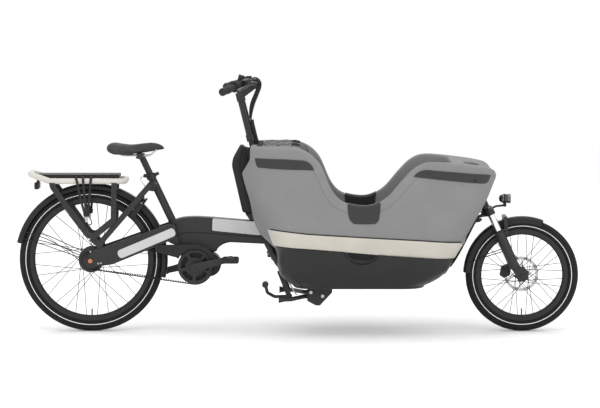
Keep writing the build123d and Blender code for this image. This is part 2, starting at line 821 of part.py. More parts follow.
STRAP_YS = (-165, -75, 75, 165)
with BuildPart() as harness_straps:
    for y in STRAP_YS:
        add(
            strip(
                [(-140, DECK_Z + 1.6), (-18, DECK_Z + 1.6), (48.5, 800), (48.5, 560)],
                2.4, y - 13, y + 13, 12,
            )
        )
    add(cargo_box.part, mode=Mode.SUBTRACT)
    add(bench_cushions.part, mode=Mode.SUBTRACT)
write(harness_straps, "harness_straps")

# ---------------------------------------------------------------- stand
BRACKET_Y = (104, 110)
with BuildPart() as stand_bracket:
    add(slab([(42, 150), (82, 129), (100, 129), (156, 189), (156, 211), (42, 211)], *BRACKET_Y))
    add(slab([(60, 205), (150, 205), (150, 234), (60, 234)], 110, 140))
    add(strip([(-86, 288), (LEVER_X, LEVER_Z)], 20, *BRACKET_Y, 0))
    mirror(about=Plane.XZ)
    add(drum(STAND_X, STAND_Z, STAND_PIN_R, -BRACKET_Y[1], BRACKET_Y[1]))
    add(drum(LEVER_X, LEVER_Z, LEVER_PIN_R, -BRACKET_Y[1], BRACKET_Y[1]))
    add(drum(112, 173, 7, -118, -BRACKET_Y[1]))
    add(drum(59, 190, 7, -118, -BRACKET_Y[1]))
    add(box_loft(SHELL_OUTER), mode=Mode.SUBTRACT)
    for x in (72, 138):
        for y in (-125, 125):
            with Locations((x, y, 222)):
                Cylinder(7, 30)
    add(cargo_rails.part, mode=Mode.SUBTRACT)
write(stand_bracket, "stand_bracket")

with BuildPart() as cargo_shell:
    add(box_loft(SHELL_OUTER))
    with BuildPart(mode=Mode.PRIVATE) as tray_space:
        add(box_loft(SHELL_OUTER, -SHELL_WALL))
        add(
            slab([(-300, 200), (900, 200), (900, 212 + SHELL_WALL), (-300, 212 + SHELL_WALL)], -400, 400),
            mode=Mode.SUBTRACT,
        )
    add(tray_space.part, mode=Mode.SUBTRACT)
    add(box_loft(TUB_OUTER, 1), mode=Mode.SUBTRACT)
    add(
        slab(
            [
                (-300, 412), (-90, 411), (195, 388), (408, 370), (683, 353), (900, 347),
                (900, 600), (-300, 600),
            ],
            -400, 400,
        ),
        mode=Mode.SUBTRACT,
    )
    add(rear_channel.part, mode=Mode.SUBTRACT)
    add(front_channel.part, mode=Mode.SUBTRACT)
    for space in rail_space:
        add(space, mode=Mode.SUBTRACT)
    add(stand_bracket.part, mode=Mode.SUBTRACT)
write(cargo_shell, "cargo_shell")

LEG_FOOT_X = -86
with BuildPart() as stand_legs:
    add(drum(STAND_X, STAND_Z, 15, -96, 96))
    for sign in (1, -1):
        add(
            tube(
                [(STAND_X, sign * 84, STAND_Z), (30, sign * 84, STAND_Z), (-30, sign * 186, 167),
                 (LEG_FOOT_X + 14, sign * 196, 167)],
                10, 20,
            )
        )
        with Locations((LEG_FOOT_X + 15, sign * 196, 167)):
            Cone(16, 9, 32, rotation=(0, 90, 0))
    add(drum(STAND_X, STAND_Z, STAND_PIN_R + RUNNING, -200, 200), mode=Mode.SUBTRACT)
write(stand_legs, "stand_legs")

LEVER_Y = -72
with BuildPart() as stand_lever:
    add(drum(LEVER_X, LEVER_Z, 13, LEVER_Y - 9, LEVER_Y + 9))
    add(
        tube(
            [
                (LEVER_X - 8, LEVER_Y, LEVER_Z), (-106, LEVER_Y, 165),
                (-139, LEVER_Y - 20, 186), (-148, LEVER_Y - 42, 226),
            ],
            7.5, 18,
        )
    )
    with Locations((-148, LEVER_Y - 44, 226)):
        Cylinder(14.5, 34, rotation=(90, 0, 0))
    add(drum(LEVER_X, LEVER_Z, LEVER_PIN_R + RUNNING, LEVER_Y - 20, LEVER_Y + 20), mode=Mode.SUBTRACT)
write(stand_lever, "stand_lever")

# ---------------------------------------------------------------- seat
POST_TOP = 388
with BuildPart() as saddle_rails:
    for sign in (1, -1):
        add(
            tube(
                [
                    (-812, sign * 46, 828), (-786, sign * 24, 806),
                    (-680, sign * 24, 806), (-640, sign * 10, 838),
                ],
                3.5, 12,
            )
        )

with BuildPart() as seat_post:
    post_foot = Vector(*SEAT_TUBE_FOOT) + SEAT_TUBE_UP * 150
    add(ring_on(Plane(post_foot, z_dir=SEAT_TUBE_UP), SEAT_POST_R, POST_TOP - 150, SEAT_POST_R - 2.5))
    add(drum(-719, 803, 14, -32, 32))
    add(saddle_rails.part, mode=Mode.SUBTRACT)
write(seat_post, "seat_post")

with BuildPart() as saddle:
    with BuildSketch(side(120)):
        with BuildLine():
            Spline(
                (-871, 830), (-858, 857), (-830, 863), (-764, 851), (-700, 858), (-660, 863), (-620, 852)
            )
            Spline((-620, 852), (-610, 842), (-622, 832))
            Polyline((-622, 832), (-700, 822), (-790, 814), (-850, 812), (-871, 830))
        make_face()
    extrude(amount=240)
    with BuildSketch(Plane.XY.offset(780), mode=Mode.PRIVATE) as saddle_plan:
        with BuildLine():
            Spline(
                (-872, 0), (-866, 50), (-836, 90), (-790, 82), (-740, 48), (-680, 26), (-622, 19), (-609, 0)
            )
            Line((-609, 0), (-872, 0))
        make_face()
        mirror(about=Plane.XZ)
    extrude(saddle_plan.sketch, amount=120, mode=Mode.INTERSECT)
    add(saddle_rails.part)
write(saddle, "saddle")

# ---------------------------------------------------------------- rear steering
ARM_LOW = 366
with BuildPart() as steering_column:
    add(ring_on(column_plane(ARM_LOW), STEERER_R, 750, 0))
    add(ring_on(column_plane(872), 20.5, 30, 0))
    add(ring_on(column_plane(890), 17, 164, 0))
    with BuildSketch(column_plane(ARM_LOW)):
        Circle(18)
        with Locations((-STEER_ARM, 0)):
            Circle(11)
        make_hull()
    extrude(amount=13)
    with BuildSketch(column_plane(ARM_LOW)):
        with Locations((-STEER_ARM, 0)):
            Circle(5)
    extrude(amount=-17)
write(steering_column, "steering_column")

STEM_Z = 1052
with BuildPart() as stem:
    add(ring_on(column_plane(STEM_Z), 20, 40, 0))
    with BuildSketch(side(15)):
        with Locations((-266, 1074)):
            Circle(15)
        with Locations((BAR_X - 4, BAR_Z - 2)):
            Circle(16)
        make_hull()
    extrude(amount=30)
    add(drum(BAR_X, BAR_Z, 22, -23, 23))
    add(ring_on(column_plane(1000), STEERER_R, 200, 0), mode=Mode.SUBTRACT)
    add(drum(BAR_X, BAR_Z, 15.9, -40, 40), mode=Mode.SUBTRACT)
write(stem, "stem")

BAR_END = GRIP_IN + GRIP_DIRECTION * 138
with BuildPart() as handlebar:
    for sign in (1, -1):
        add(
            tube(
                [(BAR_X, 0, BAR_Z), (BAR_X, sign * 50, BAR_Z), (-216, sign * 100, 1137),
                 (GRIP_IN.X, sign * GRIP_IN.Y, GRIP_IN.Z), (BAR_END.X, sign * BAR_END.Y, BAR_END.Z)],
                BAR_R, 60,
            )
        )
    add(drum(BAR_X, BAR_Z, 15.9, -34, 34))
write(handlebar, "handlebar")


def on_bar(along, radius, length, bore):
    """A ring round the left grip part of the bar, starting this far out along it."""
    start = GRIP_IN + GRIP_DIRECTION * along
    return ring_on(Plane(start, z_dir=GRIP_DIRECTION), radius, length, bore)


with BuildPart() as grips:
    add(on_bar(8, 17, 134, 0))
    add(on_bar(0, BAR_R + RUNNING, 138.1, 0), mode=Mode.SUBTRACT)
    add(mirror(on_bar(38, 17, 104, 0), about=Plane.XZ))
    add(mirror(on_bar(30, BAR_R + RUNNING, 108.1, 0), about=Plane.XZ), mode=Mode.SUBTRACT)
write(grips, "grips")

with BuildPart() as twist_shifter:
    add(on_bar(2, 24, 34, BAR_R + RUNNING))
    with BuildSketch(Plane(GRIP_IN + GRIP_DIRECTION * 14, z_dir=GRIP_DIRECTION)):
        with PolarLocations(24, 12):
            Circle(1.6)
    extrude(amount=20)
    mirror(about=Plane.XZ, mode=Mode.REPLACE)
write(twist_shifter, "twist_shifter")

LEVER_AHEAD = Vector(GRIP_DIRECTION.Y, -GRIP_DIRECTION.X, 0).normalized()
LEVER_UP = LEVER_AHEAD.cross(GRIP_DIRECTION)
LEVER_BASE = GRIP_IN - GRIP_DIRECTION * 12
LEVER_PLANE = Plane(LEVER_BASE, x_dir=GRIP_DIRECTION, z_dir=LEVER_UP)
LEVER_PIVOT_AHEAD = 36
with BuildPart() as brake_mounts:
    add(on_bar(-22, 16, 18, 0))
    with BuildSketch(LEVER_PLANE.offset(-10)):
        with Locations((-2, -28)):
            RectangleRounded(24, 38, 5)
    extrude(amount=20)
    with BuildSketch(LEVER_PLANE.offset(-6)):
        with Locations((8, -40)):
            Rectangle(44, 30)
    extrude(amount=12, mode=Mode.SUBTRACT)
    with BuildSketch(LEVER_PLANE.offset(-10)):
        with Locations((0, -LEVER_PIVOT_AHEAD)):
            Circle(3)
    extrude(amount=20)
    with BuildSketch(LEVER_PLANE.offset(8)):
        with Locations((-20, -24)):
            RectangleRounded(44, 26, 6)
    extrude(amount=14)
    mirror(about=Plane.XZ)
    add(handlebar.part, mode=Mode.SUBTRACT)
write(brake_mounts, "brake_mounts")


def brake_lever():
    """The left brake lever: a hub on its pivot pin and a hooked blade."""
    with BuildPart() as made:
        with BuildSketch(LEVER_PLANE.offset(-5.5)):
            with Locations((0, -LEVER_PIVOT_AHEAD)):
                Circle(7.5)
            with BuildLine():
                FilletPolyline((0, -LEVER_PIVOT_AHEAD), (34, -57), (100, -60), (124, -66), radius=20)
            trace(line_width=11)
            with Locations((0, -LEVER_PIVOT_AHEAD)):
                Circle(3 + RUNNING, mode=Mode.SUBTRACT)
        extrude(amount=11)
    return made


brake_lever_left = brake_lever()
write(brake_lever_left, "brake_lever_left")
with BuildPart() as brake_lever_right:
    add(mirror(brake_lever_left.part, about=Plane.XZ))
write(brake_lever_right, "brake_lever_right")

with BuildPart() as display:
    add(slab([(-276, 1144), (-268, 1176), (-254, 1172), (-256, 1141)], -34, 34, 3))
    add(slab([(-258, 1150), (-206, 1146), (-206, 1132), (-258, 1144)], 24.5, 33))
    add(handlebar.part, mode=Mode.SUBTRACT)
write(display, "display")

with BuildPart() as control_cables:
    for sign, low, start_y in ((1, 5, 132), (1, 12, 142), (-1, 5, 132), (-1, 12, 142)):
        y = sign * low
        add(
            tube(
                [
                    (-206, sign * start_y, 1152), (-166, sign * (start_y - 34), 1160),
                    (-150, sign * (54 + low), 1122), (-176, sign * (low + 10), 1052),
                    (-203, y, 975), (-178, y, 890), (-167, y, 834),
                ],
                2.6, 26,
            )
        )
write(control_cables, "control_cables")

# ---------------------------------------------------------------- fork
CROWN_LOW = 95
CROWN_HEIGHT = 26
LAMP_X = 945
LAMP_Z = 577
with BuildPart() as fork_crown:
    with BuildSketch(fork_plane(CROWN_LOW)):
        Circle(24)
        for sign in (1, -1):
            with Locations((STANCHION_AHEAD, sign * STANCHION_Y)):
                Circle(20)
        make_hull()
    extrude(amount=CROWN_HEIGHT)
    add(ring_on(fork_plane(CROWN_LOW), STEERER_R, 112, 0))
    with BuildSketch(fork_plane(-90)):
        for sign in (1, -1):
            with Locations((STANCHION_AHEAD, sign * STANCHION_Y)):
                Circle(STANCHION_R)
    extrude(amount=CROWN_LOW + 90 + 5)
    with BuildSketch(fork_plane(CROWN_LOW + 2)):
        Circle(20)
        with Locations((-STEER_ARM, 0)):
            Circle(10)
        make_hull()
    extrude(amount=12)
    with BuildSketch(fork_plane(CROWN_LOW + 2)):
        with Locations((-STEER_ARM, 0)):
            Circle(5)
    extrude(amount=-17)
    add(strip([(872, 556), (905, 573), (LAMP_X, LAMP_Z)], 9, -4, 4, 20))
    add(drum(LAMP_X, LAMP_Z, 7, -4, 4))
    add(drum(LAMP_X, LAMP_Z, 3, -9.5, 9.5))
write(fork_crown, "fork_crown")

with BuildPart() as headlight:
    with BuildSketch(Plane((0, 0, 608), x_dir=(1, 0, 0), z_dir=(0, -1, 0))):
        with BuildLine():
            Spline((917, 0), (922, 12), (938, 20), (956, 22))
            Polyline((956, 22), (972, 22), (972, 0), (917, 0))
        make_face()
    revolve(axis=Axis((0, 0, 608), (1, 0, 0)))
    for sign in (1, -1):
        low, high = sorted((sign * 4.4, sign * 9.4))
        add(slab([(937, 571), (953, 571), (953, 594), (937, 594)], low, high, 3))
        add(drum(LAMP_X, LAMP_Z, 3 + RUNNING, low - 1, high + 1), mode=Mode.SUBTRACT)
write(headlight, "headlight")

with BuildPart() as tie_rod:
    rear_eye = column_plane(ARM_LOW).offset(-15)
    with BuildSketch(rear_eye):
        with Locations((-STEER_ARM, 0)):
            Circle(12)
            Circle(5 + RUNNING, mode=Mode.SUBTRACT)
    extrude(amount=12)
    front_eye = fork_plane(CROWN_LOW + 2).offset(-14)
    with BuildSketch(front_eye):
        with Locations((-STEER_ARM, 0)):
            Circle(14)
            Circle(8.2, mode=Mode.SUBTRACT)
    extrude(amount=10)
    rear_centre = rear_eye.origin - COLUMN_AHEAD * STEER_ARM + COLUMN_UP * 6
    front_centre = front_eye.origin - FORK_AHEAD * STEER_ARM + FORK_UP * 5
    first = rear_centre + Vector(0.64, 0, -0.77) * 11
    last = front_centre - Vector(0.96, 0, 0.28) * 13
    add(
        tube(
            [
                (first.X, 0, first.Z), (-40, 0, 250), (622, 0, 247),
                (742, 0, 420), (782, 0, 494), (last.X, 0, last.Z),
            ],
            ROD_R, 22,
        )
    )
write(tie_rod, "tie_rod")

LEG_R = 22
LEG_LOW = -170
DROPOUT_Y = (50, 58)
leg_foot = fork_plane(LEG_LOW).origin + FORK_AHEAD * STANCHION_AHEAD
with BuildPart() as fork_lowers:
    with BuildSketch(fork_plane(LEG_LOW)):
        with Locations((STANCHION_AHEAD, STANCHION_Y)):
            Circle(LEG_R)
    extrude(amount=5 - LEG_LOW)
    with BuildSketch(side(DROPOUT_Y[1])):
        with Locations((leg_foot.X, leg_foot.Z)):
            Circle(18)
        with Locations((FRONT_X, FRONT_TYRE_R)):
            Circle(24)
        make_hull()
    extrude(amount=DROPOUT_Y[1] - DROPOUT_Y[0])
    add(strip([(936, 414), (950, 460), (944, 530)], 16, 49, 64, 40))
    mirror(about=Plane.XZ)
    add(slab([(936, 516.5), (952, 516.5), (952, 530), (936, 530)], -64, 64))
    with BuildSketch(fork_plane(-140)):
        for sign in (1, -1):
            with Locations((STANCHION_AHEAD, sign * STANCHION_Y)):
                Circle(STANCHION_R + RUNNING)
    extrude(amount=200, mode=Mode.SUBTRACT)
    add(drum(FRONT_X, FRONT_TYRE_R, AXLE_R, -80, 80), mode=Mode.SUBTRACT)
write(fork_lowers, "fork_lowers")

with BuildPart() as front_mudguard:
    add(guard_blade(FRONT_X, FRONT_TYRE_R, FRONT_GUARD_R, 31, 30, 69, 108.4))
    for sign in (1, -1):
        add(tube([(771, sign * 29, 312), (850, sign * 36, 342), (934, sign * 52, 370)], 2.2, 60))
    add(fork_lowers.part, mode=Mode.SUBTRACT)
write(front_mudguard, "front_mudguard")

with BuildPart() as front_axle:
    add(drum(FRONT_X, FRONT_TYRE_R, AXLE_R, -66, 66))
    for y_low, y_high in ((DROPOUT_Y[1] + 0.2, 65), (-65, -DROPOUT_Y[1] - 0.2)):
        add(drum(FRONT_X, FRONT_TYRE_R, 10, y_low, y_high))
write(front_axle, "front_axle")

with BuildPart() as brake_caliper:
    add(slab([(926, 252), (934, 292), (966, 306), (980, 290), (972, 250), (944, 240)], 27, 58, 5))
    add(drum(FRONT_X, FRONT_TYRE_R, ROTOR_R + 3, ROTOR_Y - 2.4, ROTOR_Y + 2.4), mode=Mode.SUBTRACT)
    add(drum(FRONT_X, FRONT_TYRE_R, 44, 0, 60), mode=Mode.SUBTRACT)
    add(fork_lowers.part, mode=Mode.SUBTRACT)
write(brake_caliper, "brake_caliper")
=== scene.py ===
import json
import math
from math import cos, pi, radians, sin

import bmesh
import bpy
from mathutils import Matrix, Vector


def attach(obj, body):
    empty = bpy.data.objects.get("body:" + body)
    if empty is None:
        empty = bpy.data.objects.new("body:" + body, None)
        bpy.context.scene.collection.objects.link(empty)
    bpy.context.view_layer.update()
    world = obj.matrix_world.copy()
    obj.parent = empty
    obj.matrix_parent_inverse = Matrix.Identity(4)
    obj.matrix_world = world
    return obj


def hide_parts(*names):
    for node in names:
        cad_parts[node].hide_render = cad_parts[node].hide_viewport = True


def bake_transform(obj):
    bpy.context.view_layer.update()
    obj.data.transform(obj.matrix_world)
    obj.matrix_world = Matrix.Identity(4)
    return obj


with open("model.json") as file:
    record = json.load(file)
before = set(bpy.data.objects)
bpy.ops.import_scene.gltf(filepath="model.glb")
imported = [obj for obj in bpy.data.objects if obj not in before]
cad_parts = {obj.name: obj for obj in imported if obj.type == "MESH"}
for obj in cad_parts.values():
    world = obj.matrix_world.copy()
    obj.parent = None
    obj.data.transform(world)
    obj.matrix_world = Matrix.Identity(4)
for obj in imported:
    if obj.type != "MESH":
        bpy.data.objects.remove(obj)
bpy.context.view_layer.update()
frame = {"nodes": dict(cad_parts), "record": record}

cad_nodes = frame["nodes"]
MM = 0.001  # camera, light and floor are in metres, everything after them is in millimetres


# ---------------------------------------------------------------- camera, light and floor
def aim(obj, target):
    direction = Vector(target) - obj.location
    obj.rotation_euler = direction.to_track_quat("-Z", "Y").to_euler()


camera_data = bpy.data.cameras.new("camera")
camera_data.sensor_width = 36
camera_data.lens = 158.1
camera_data.clip_end = 100
camera = bpy.data.objects.new("camera", camera_data)
camera.location = (0.0094, -12.0, 1.594)
aim(camera, (0.0094, 0, 0.5827))
bpy.context.scene.collection.objects.link(camera)
bpy.context.scene.camera = camera
bpy.context.scene.view_settings.view_transform = "Standard"


def area_light(name, place, target, size, power):
    data = bpy.data.lights.new(name, "AREA")
    data.shape = "RECTANGLE"
    data.size, data.size_y = size
    data.energy = power
    light = bpy.data.objects.new(name, data)
    light.location = place
    aim(light, target)
    bpy.context.scene.collection.objects.link(light)


area_light("overhead", (0.2, -0.6, 4.6), (0, 0, 0), (5.5, 3.2), 55)
area_light("key", (-3.0, -4.6, 3.4), (0, 0, 0.5), (2.6, 2.0), 35)
area_light("fill", (3.8, -5.0, 2.2), (0, 0, 0.5), (2.6, 2.0), 45)
area_light("back", (0, 4.6, 3.2), (0, 0, 0.5), (4.0, 1.6), 30)

world = bpy.data.worlds.new("studio")
world.use_nodes = True
world.node_tree.nodes["Background"].inputs["Color"].default_value = (1, 1, 1, 1)
world.node_tree.nodes["Background"].inputs["Strength"].default_value = 1.0
bpy.context.scene.world = world


# ---------------------------------------------------------------- materials
def srgb(*levels):
    """An 8-bit screen colour as a linear one."""
    linear = [(v / 255) / 12.92 if v <= 10 else ((v / 255 + 0.055) / 1.055) ** 2.4 for v in levels]
    return (linear * 3 if len(linear) == 1 else linear) + [1.0]


class Nodes:
    """Short calls for building one material's node tree."""

    def __init__(self, name):
        self.material = bpy.data.materials.new(name)
        self.material.use_nodes = True
        self.tree = self.material.node_tree
        self.shader = self.tree.nodes["Principled BSDF"]
        self.place = self.add("ShaderNodeTexCoord").outputs["Object"]

    def add(self, kind, links=(), **values):
        node = self.tree.nodes.new(kind)
        for key, value in values.items():
            setattr(node, key, value)
        for socket, source in dict(links).items():
            if isinstance(source, bpy.types.NodeSocket):
                self.tree.links.new(source, node.inputs[socket])
            else:
                node.inputs[socket].default_value = source
        return node

    def noise(self, scale, detail=3.0, stretch=None):
        source = self.place
        if stretch:
            source = self.add("ShaderNodeMapping", {"Vector": source, "Scale": stretch}).outputs["Vector"]
        made = self.add("ShaderNodeTexNoise", {"Vector": source, "Scale": scale, "Detail": detail})
        return made.outputs["Fac"]

    def cells(self, scale, feature="F1"):
        made = self.add("ShaderNodeTexVoronoi", {"Vector": self.place, "Scale": scale}, feature=feature)
        return made.outputs["Distance"]

    def threads(self, scale, axis):
        made = self.add(
            "ShaderNodeTexWave", {"Vector": self.place, "Scale": scale, "Distortion": 0.6, "Detail": 1.0},
            bands_direction=axis,
        )
        return made.outputs["Fac"]

    def math(self, operation, first, second):
        return self.add("ShaderNodeMath", {0: first, 1: second}, operation=operation).outputs[0]

    def ramp(self, source, low, high, start=0.3, stop=0.7):
        made = self.add("ShaderNodeValToRGB", {"Fac": source})
        made.color_ramp.elements[0].position, made.color_ramp.elements[0].color = start, low
        made.color_ramp.elements[1].position, made.color_ramp.elements[1].color = stop, high
        return made.outputs["Color"]

    def scaled(self, source, low, high):
        made = self.add("ShaderNodeMapRange", {"Value": source, "To Min": low, "To Max": high})
        return made.outputs["Result"]

    def finish(self, colour, roughness, height=None, depth=0.0, edge=0.0, **fixed):
        self.tree.links.new(colour, self.shader.inputs["Base Color"])
        self.tree.links.new(roughness, self.shader.inputs["Roughness"])
        normal = None
        if edge:
            normal = self.add("ShaderNodeBevel", {"Radius": edge * MM}, samples=4).outputs["Normal"]
        if height is not None:
            links = {"Height": height, "Strength": 1.0, "Distance": depth * MM}
            if normal is not None:
                links["Normal"] = normal
            normal = self.add("ShaderNodeBump", links).outputs["Normal"]
        if normal is not None:
            self.tree.links.new(normal, self.shader.inputs["Normal"])
        for socket, value in fixed.items():
            self.shader.inputs[socket.replace("_", " ")].default_value = value
        return self.material


def shade(colour, factor):
    return [c * factor for c in colour[:3]] + [1.0]


def coated(name, colour, roughness=0.45, grain=700, depth=0.05, edge=1.2, specular=0.3, **fixed):
    """Paint or moulded plastic: fine orange-peel grain, slow colour drift and uneven gloss."""
    n = Nodes(name)
    return n.finish(
        n.ramp(n.noise(9, 4), shade(colour, 0.95), shade(colour, 1.05)),
        n.scaled(n.noise(35, 4), roughness - 0.07, roughness + 0.07),
        n.noise(grain, 2), depth, edge, Specular_IOR_Level=specular, **fixed,
    )


def metal(name, colour, roughness=0.28, stretch=(1, 1, 12), edge=0.6):
    """Brushed or drawn metal."""
    n = Nodes(name)
    lines = n.noise(420, 3, stretch)
    return n.finish(
        n.ramp(lines, shade(colour, 0.82), shade(colour, 1.1)),
        n.scaled(lines, roughness - 0.08, roughness + 0.1),
        lines, 0.02, edge, Metallic=1.0,
    )


def rubber(name, colour, roughness=0.72, grain=380, depth=0.12, edge=0.0):
    n = Nodes(name)
    return n.finish(
        n.ramp(n.noise(22, 5), shade(colour, 0.75), shade(colour, 1.35)),
        n.scaled(n.noise(60, 4), roughness - 0.08, roughness + 0.08),
        n.noise(grain, 4), depth, edge, Specular_IOR_Level=0.25,
    )


def foam(name, colour):
    """Moulded bead foam: packed cells a few millimetres across, each a slightly different tone."""
    n = Nodes(name)
    tone = n.add("ShaderNodeTexVoronoi", {"Vector": n.place, "Scale": 260.0}).outputs["Color"]
    grey = n.add("ShaderNodeSeparateColor", {"Color": tone}).outputs["Red"]
    cell = n.cells(260, "DISTANCE_TO_EDGE")
    mixed = n.math("ADD", n.math("MULTIPLY", grey, 0.4), n.math("MULTIPLY", n.noise(8, 2), 0.6))
    return n.finish(
        n.ramp(mixed, shade(colour, 0.93), shade(colour, 1.06), 0.25, 0.75),
        n.scaled(grey, 0.72, 0.9),
        n.ramp(cell, (0, 0, 0, 1), (1, 1, 1, 1), 0.0, 0.12), 0.12, 0.0, Specular_IOR_Level=0.2,
    )


def woven(name, colour, pitch=1.4, depth=0.25, sheen=0.25):
    """A plain weave of two crossed sets of threads."""
    n = Nodes(name)
    scale = 1000 / pitch / 6.28
    along = n.math("MAXIMUM", n.threads(scale, "X"), n.threads(scale, "Z"))
    weave = n.math("MULTIPLY", along, n.threads(scale, "Y"))
    fuzz = n.math("ADD", n.math("MULTIPLY", weave, 0.6), n.math("MULTIPLY", n.noise(60, 5), 0.4))
    return n.finish(
        n.ramp(fuzz, shade(colour, 0.55), shade(colour, 1.45), 0.15, 0.8),
        n.scaled(fuzz, 0.8, 0.95), weave, depth, 0.0,
        Specular_IOR_Level=0.15, Sheen_Weight=sheen, Sheen_Roughness=0.5,
    )


def hide(name, colour):
    """Soft grained cover of the saddle."""
    n = Nodes(name)
    grain = n.math("ADD", n.cells(420), n.math("MULTIPLY", n.noise(160, 4), 0.5))
    return n.finish(
        n.ramp(n.noise(18, 5), shade(colour, 0.8), shade(colour, 1.25)),
        n.scaled(grain, 0.48, 0.68), grain, 0.18, 0.0, Specular_IOR_Level=0.3,
    )


FRAME_BLACK = coated("frame_black", srgb(42), 0.4, 900, 0.04, 1.5)
SILVER = coated("inlay_silver", srgb(190), 0.36, 900, 0.02, 1.5)
CREAM = coated("rack_cream", srgb(198, 196, 189), 0.38, 900, 0.02, 1.0)
BAND_PEARL = coated("band_pearl", srgb(188, 184, 174), 0.34, 600, 0.03, 1.5, 0.4)
BLACK_PLASTIC = coated("black_plastic", srgb(28), 0.52, 520, 0.08, 1.0)
DARK_PLASTIC = coated("dark_plastic", srgb(26), 0.5, 420, 0.1, 1.5)
SHELL_GREY = coated("shell_grey", srgb(34), 0.38, 520, 0.05, 1.5)
TRIM_GREY = coated("trim_grey", srgb(50), 0.5, 420, 0.1, 1.2)
TRIM_DARK = coated("trim_dark", srgb(28), 0.55, 420, 0.1, 1.2)
LENS_RED = coated("lens_red", srgb(150, 20, 18), 0.15, 300, 0.1, 0.5, 0.5, Coat_Weight=0.5)
SCREEN = coated("screen_glass", srgb(30, 34, 38), 0.12, 60, 0.02, 1.0, 0.5)
BOX_FOAM = foam("box_foam", srgb(130))
TYRE = rubber("tyre_rubber", srgb(20))
SOFT_RUBBER = rubber("soft_rubber", srgb(40), 0.68, 700, 0.1, 0.5)
BELT = rubber("belt_rubber", srgb(24))
SADDLE = hide("saddle_cover", srgb(50))
CUSHION = woven("cushion_cloth", srgb(58), 1.6)
WEBBING = woven("webbing", srgb(34), 1.1, 0.3)
STEEL = metal("bright_steel", srgb(190))
CHROME = metal("polished_tube", srgb(236), 0.14, (12, 12, 1))
SPOKE = coated("spoke_wire", srgb(16), 0.35, 900, 0.02, 0.0, 0.4)
RIM_BLACK = coated("rim_black", srgb(24), 0.38, 300, 0.03, 0.6, 0.4)
HUB_BLACK = coated("hub_black", srgb(34), 0.4, 300, 0.03, 1.0, 0.4)
BRONZE = metal("axle_bronze", srgb(200, 130, 92), 0.3)
LAMP_SILVER = metal("lamp_silver", srgb(120), 0.3)
LINE_WHITE = coated("reflective_line", srgb(235), 0.3, 800, 0.02, 0.0, 0.5)
# near-black: the band gasket's colour, and painted shade on the strap slots, the shell's pocket and the
# beam's crease
BLACK_AND_PAINTED_SHADE = coated("black_and_painted_shade", srgb(14), 0.7, 300, 0.05)

floor_nodes = Nodes("floor")
FLOOR = floor_nodes.finish(
    floor_nodes.ramp(floor_nodes.noise(3, 3), (0.985, 0.985, 0.985, 1), (1, 1, 1, 1)),
    floor_nodes.scaled(floor_nodes.noise(40, 3), 0.9, 1.0), Specular_IOR_Level=0.0,
)
floor_mesh = bpy.data.meshes.new("floor")
FLOOR_REACH = 14
floor_corners = [(x * FLOOR_REACH, y * FLOOR_REACH, 0) for x, y in ((-1, -1), (1, -1), (1, 1), (-1, 1))]
floor_mesh.from_pydata(floor_corners, [], [(0, 1, 2, 3)])
floor_mesh.materials.append(FLOOR)
floor = bpy.data.objects.new("floor", floor_mesh)
bpy.context.scene.collection.objects.link(floor)

SLOT_FINISH = {
    "frame_black": FRAME_BLACK, "frame_silver": SILVER, "rack_cream": CREAM, "black_plastic": BLACK_PLASTIC,
    "dark_plastic": DARK_PLASTIC, "shell_plastic": SHELL_GREY, "box_foam": BOX_FOAM, "band_paint": BAND_PEARL,
    "tyre_rubber": TYRE, "soft_rubber": SOFT_RUBBER, "belt_rubber": BELT, "rim_black": RIM_BLACK,
    "spoke_steel": SPOKE, "hub_black": HUB_BLACK, "steel": STEEL, "axle_bronze": BRONZE,
    "lamp_silver": LAMP_SILVER, "lamp_red": LENS_RED, "saddle_skin": SADDLE, "cushion_fabric": CUSHION,
    "strap_web": WEBBING, "screen": SCREEN,
}
for subpart in frame["record"]["subparts"]:
    node = cad_nodes[subpart["node"]]
    node.data.materials.clear()
    node.data.materials.append(SLOT_FINISH[subpart["material_slot"]])
cad_nodes["box_trims"].data.materials[0] = TRIM_GREY
cad_nodes["front_axle"].data.materials[0] = HUB_BLACK
SPOKE_COAT = 0.4
for node in ("rear_spokes", "front_spokes"):
    coat = cad_nodes[node].modifiers.new("fuller", "DISPLACE")
    coat.strength, coat.mid_level = SPOKE_COAT * MM, 0


# ---------------------------------------------------------------- mesh helpers
def piece(name, verts, faces, material, body, slot=None, smooth_angle=40, modifiers=()):
    mesh = bpy.data.meshes.new(name)
    mesh.from_pydata([Vector(v) * MM for v in verts], [], faces)
    mesh.validate()
    mesh.materials.append(material)
    obj = bpy.data.objects.new(name, mesh)
    bpy.context.scene.collection.objects.link(obj)
    tidy_normals(mesh)
    finish_shading(mesh, smooth_angle)
    for kind, values in modifiers:
        added = obj.modifiers.new(kind.lower(), kind)
        for key, value in values.items():
            setattr(added, key, value)
    if isinstance(body, str):
        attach(obj, body)
    else:
        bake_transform(obj)
    return obj


def tidy_normals(mesh):
    bm = bmesh.new()
    bm.from_mesh(mesh)
    bmesh.ops.remove_doubles(bm, verts=bm.verts, dist=1e-6)
    bmesh.ops.recalc_face_normals(bm, faces=bm.faces)
    bm.to_mesh(mesh)
    bm.free()


def finish_shading(mesh, smooth_angle):
    mesh.polygons.foreach_set("use_smooth", [True] * len(mesh.polygons))
    if smooth_angle < 180:
        mesh.set_sharp_from_angle(angle=radians(smooth_angle))
    mesh.update()


def grid(rows, wrap_rows=False, wrap_columns=True):
    """Vertices and quads of a lattice given as rows of equal length."""
    count, width = len(rows), len(rows[0])
    verts = [v for row in rows for v in row]
    faces = []
    for i in range(count if wrap_rows else count - 1):
        for j in range(width if wrap_columns else width - 1):
            a, b = i * width + j, i * width + (j + 1) % width
            c, d = ((i + 1) % count) * width + (j + 1) % width, ((i + 1) % count) * width + j
            faces.append((a, b, c, d))
    return verts, faces


def capped(rows):
    """A lattice of closed rings with both ends filled."""
    verts, faces = grid(rows)
    size = len(rows[0])
    faces += [tuple(reversed(range(size))), tuple(range(len(verts) - size, len(verts)))]
    return verts, faces


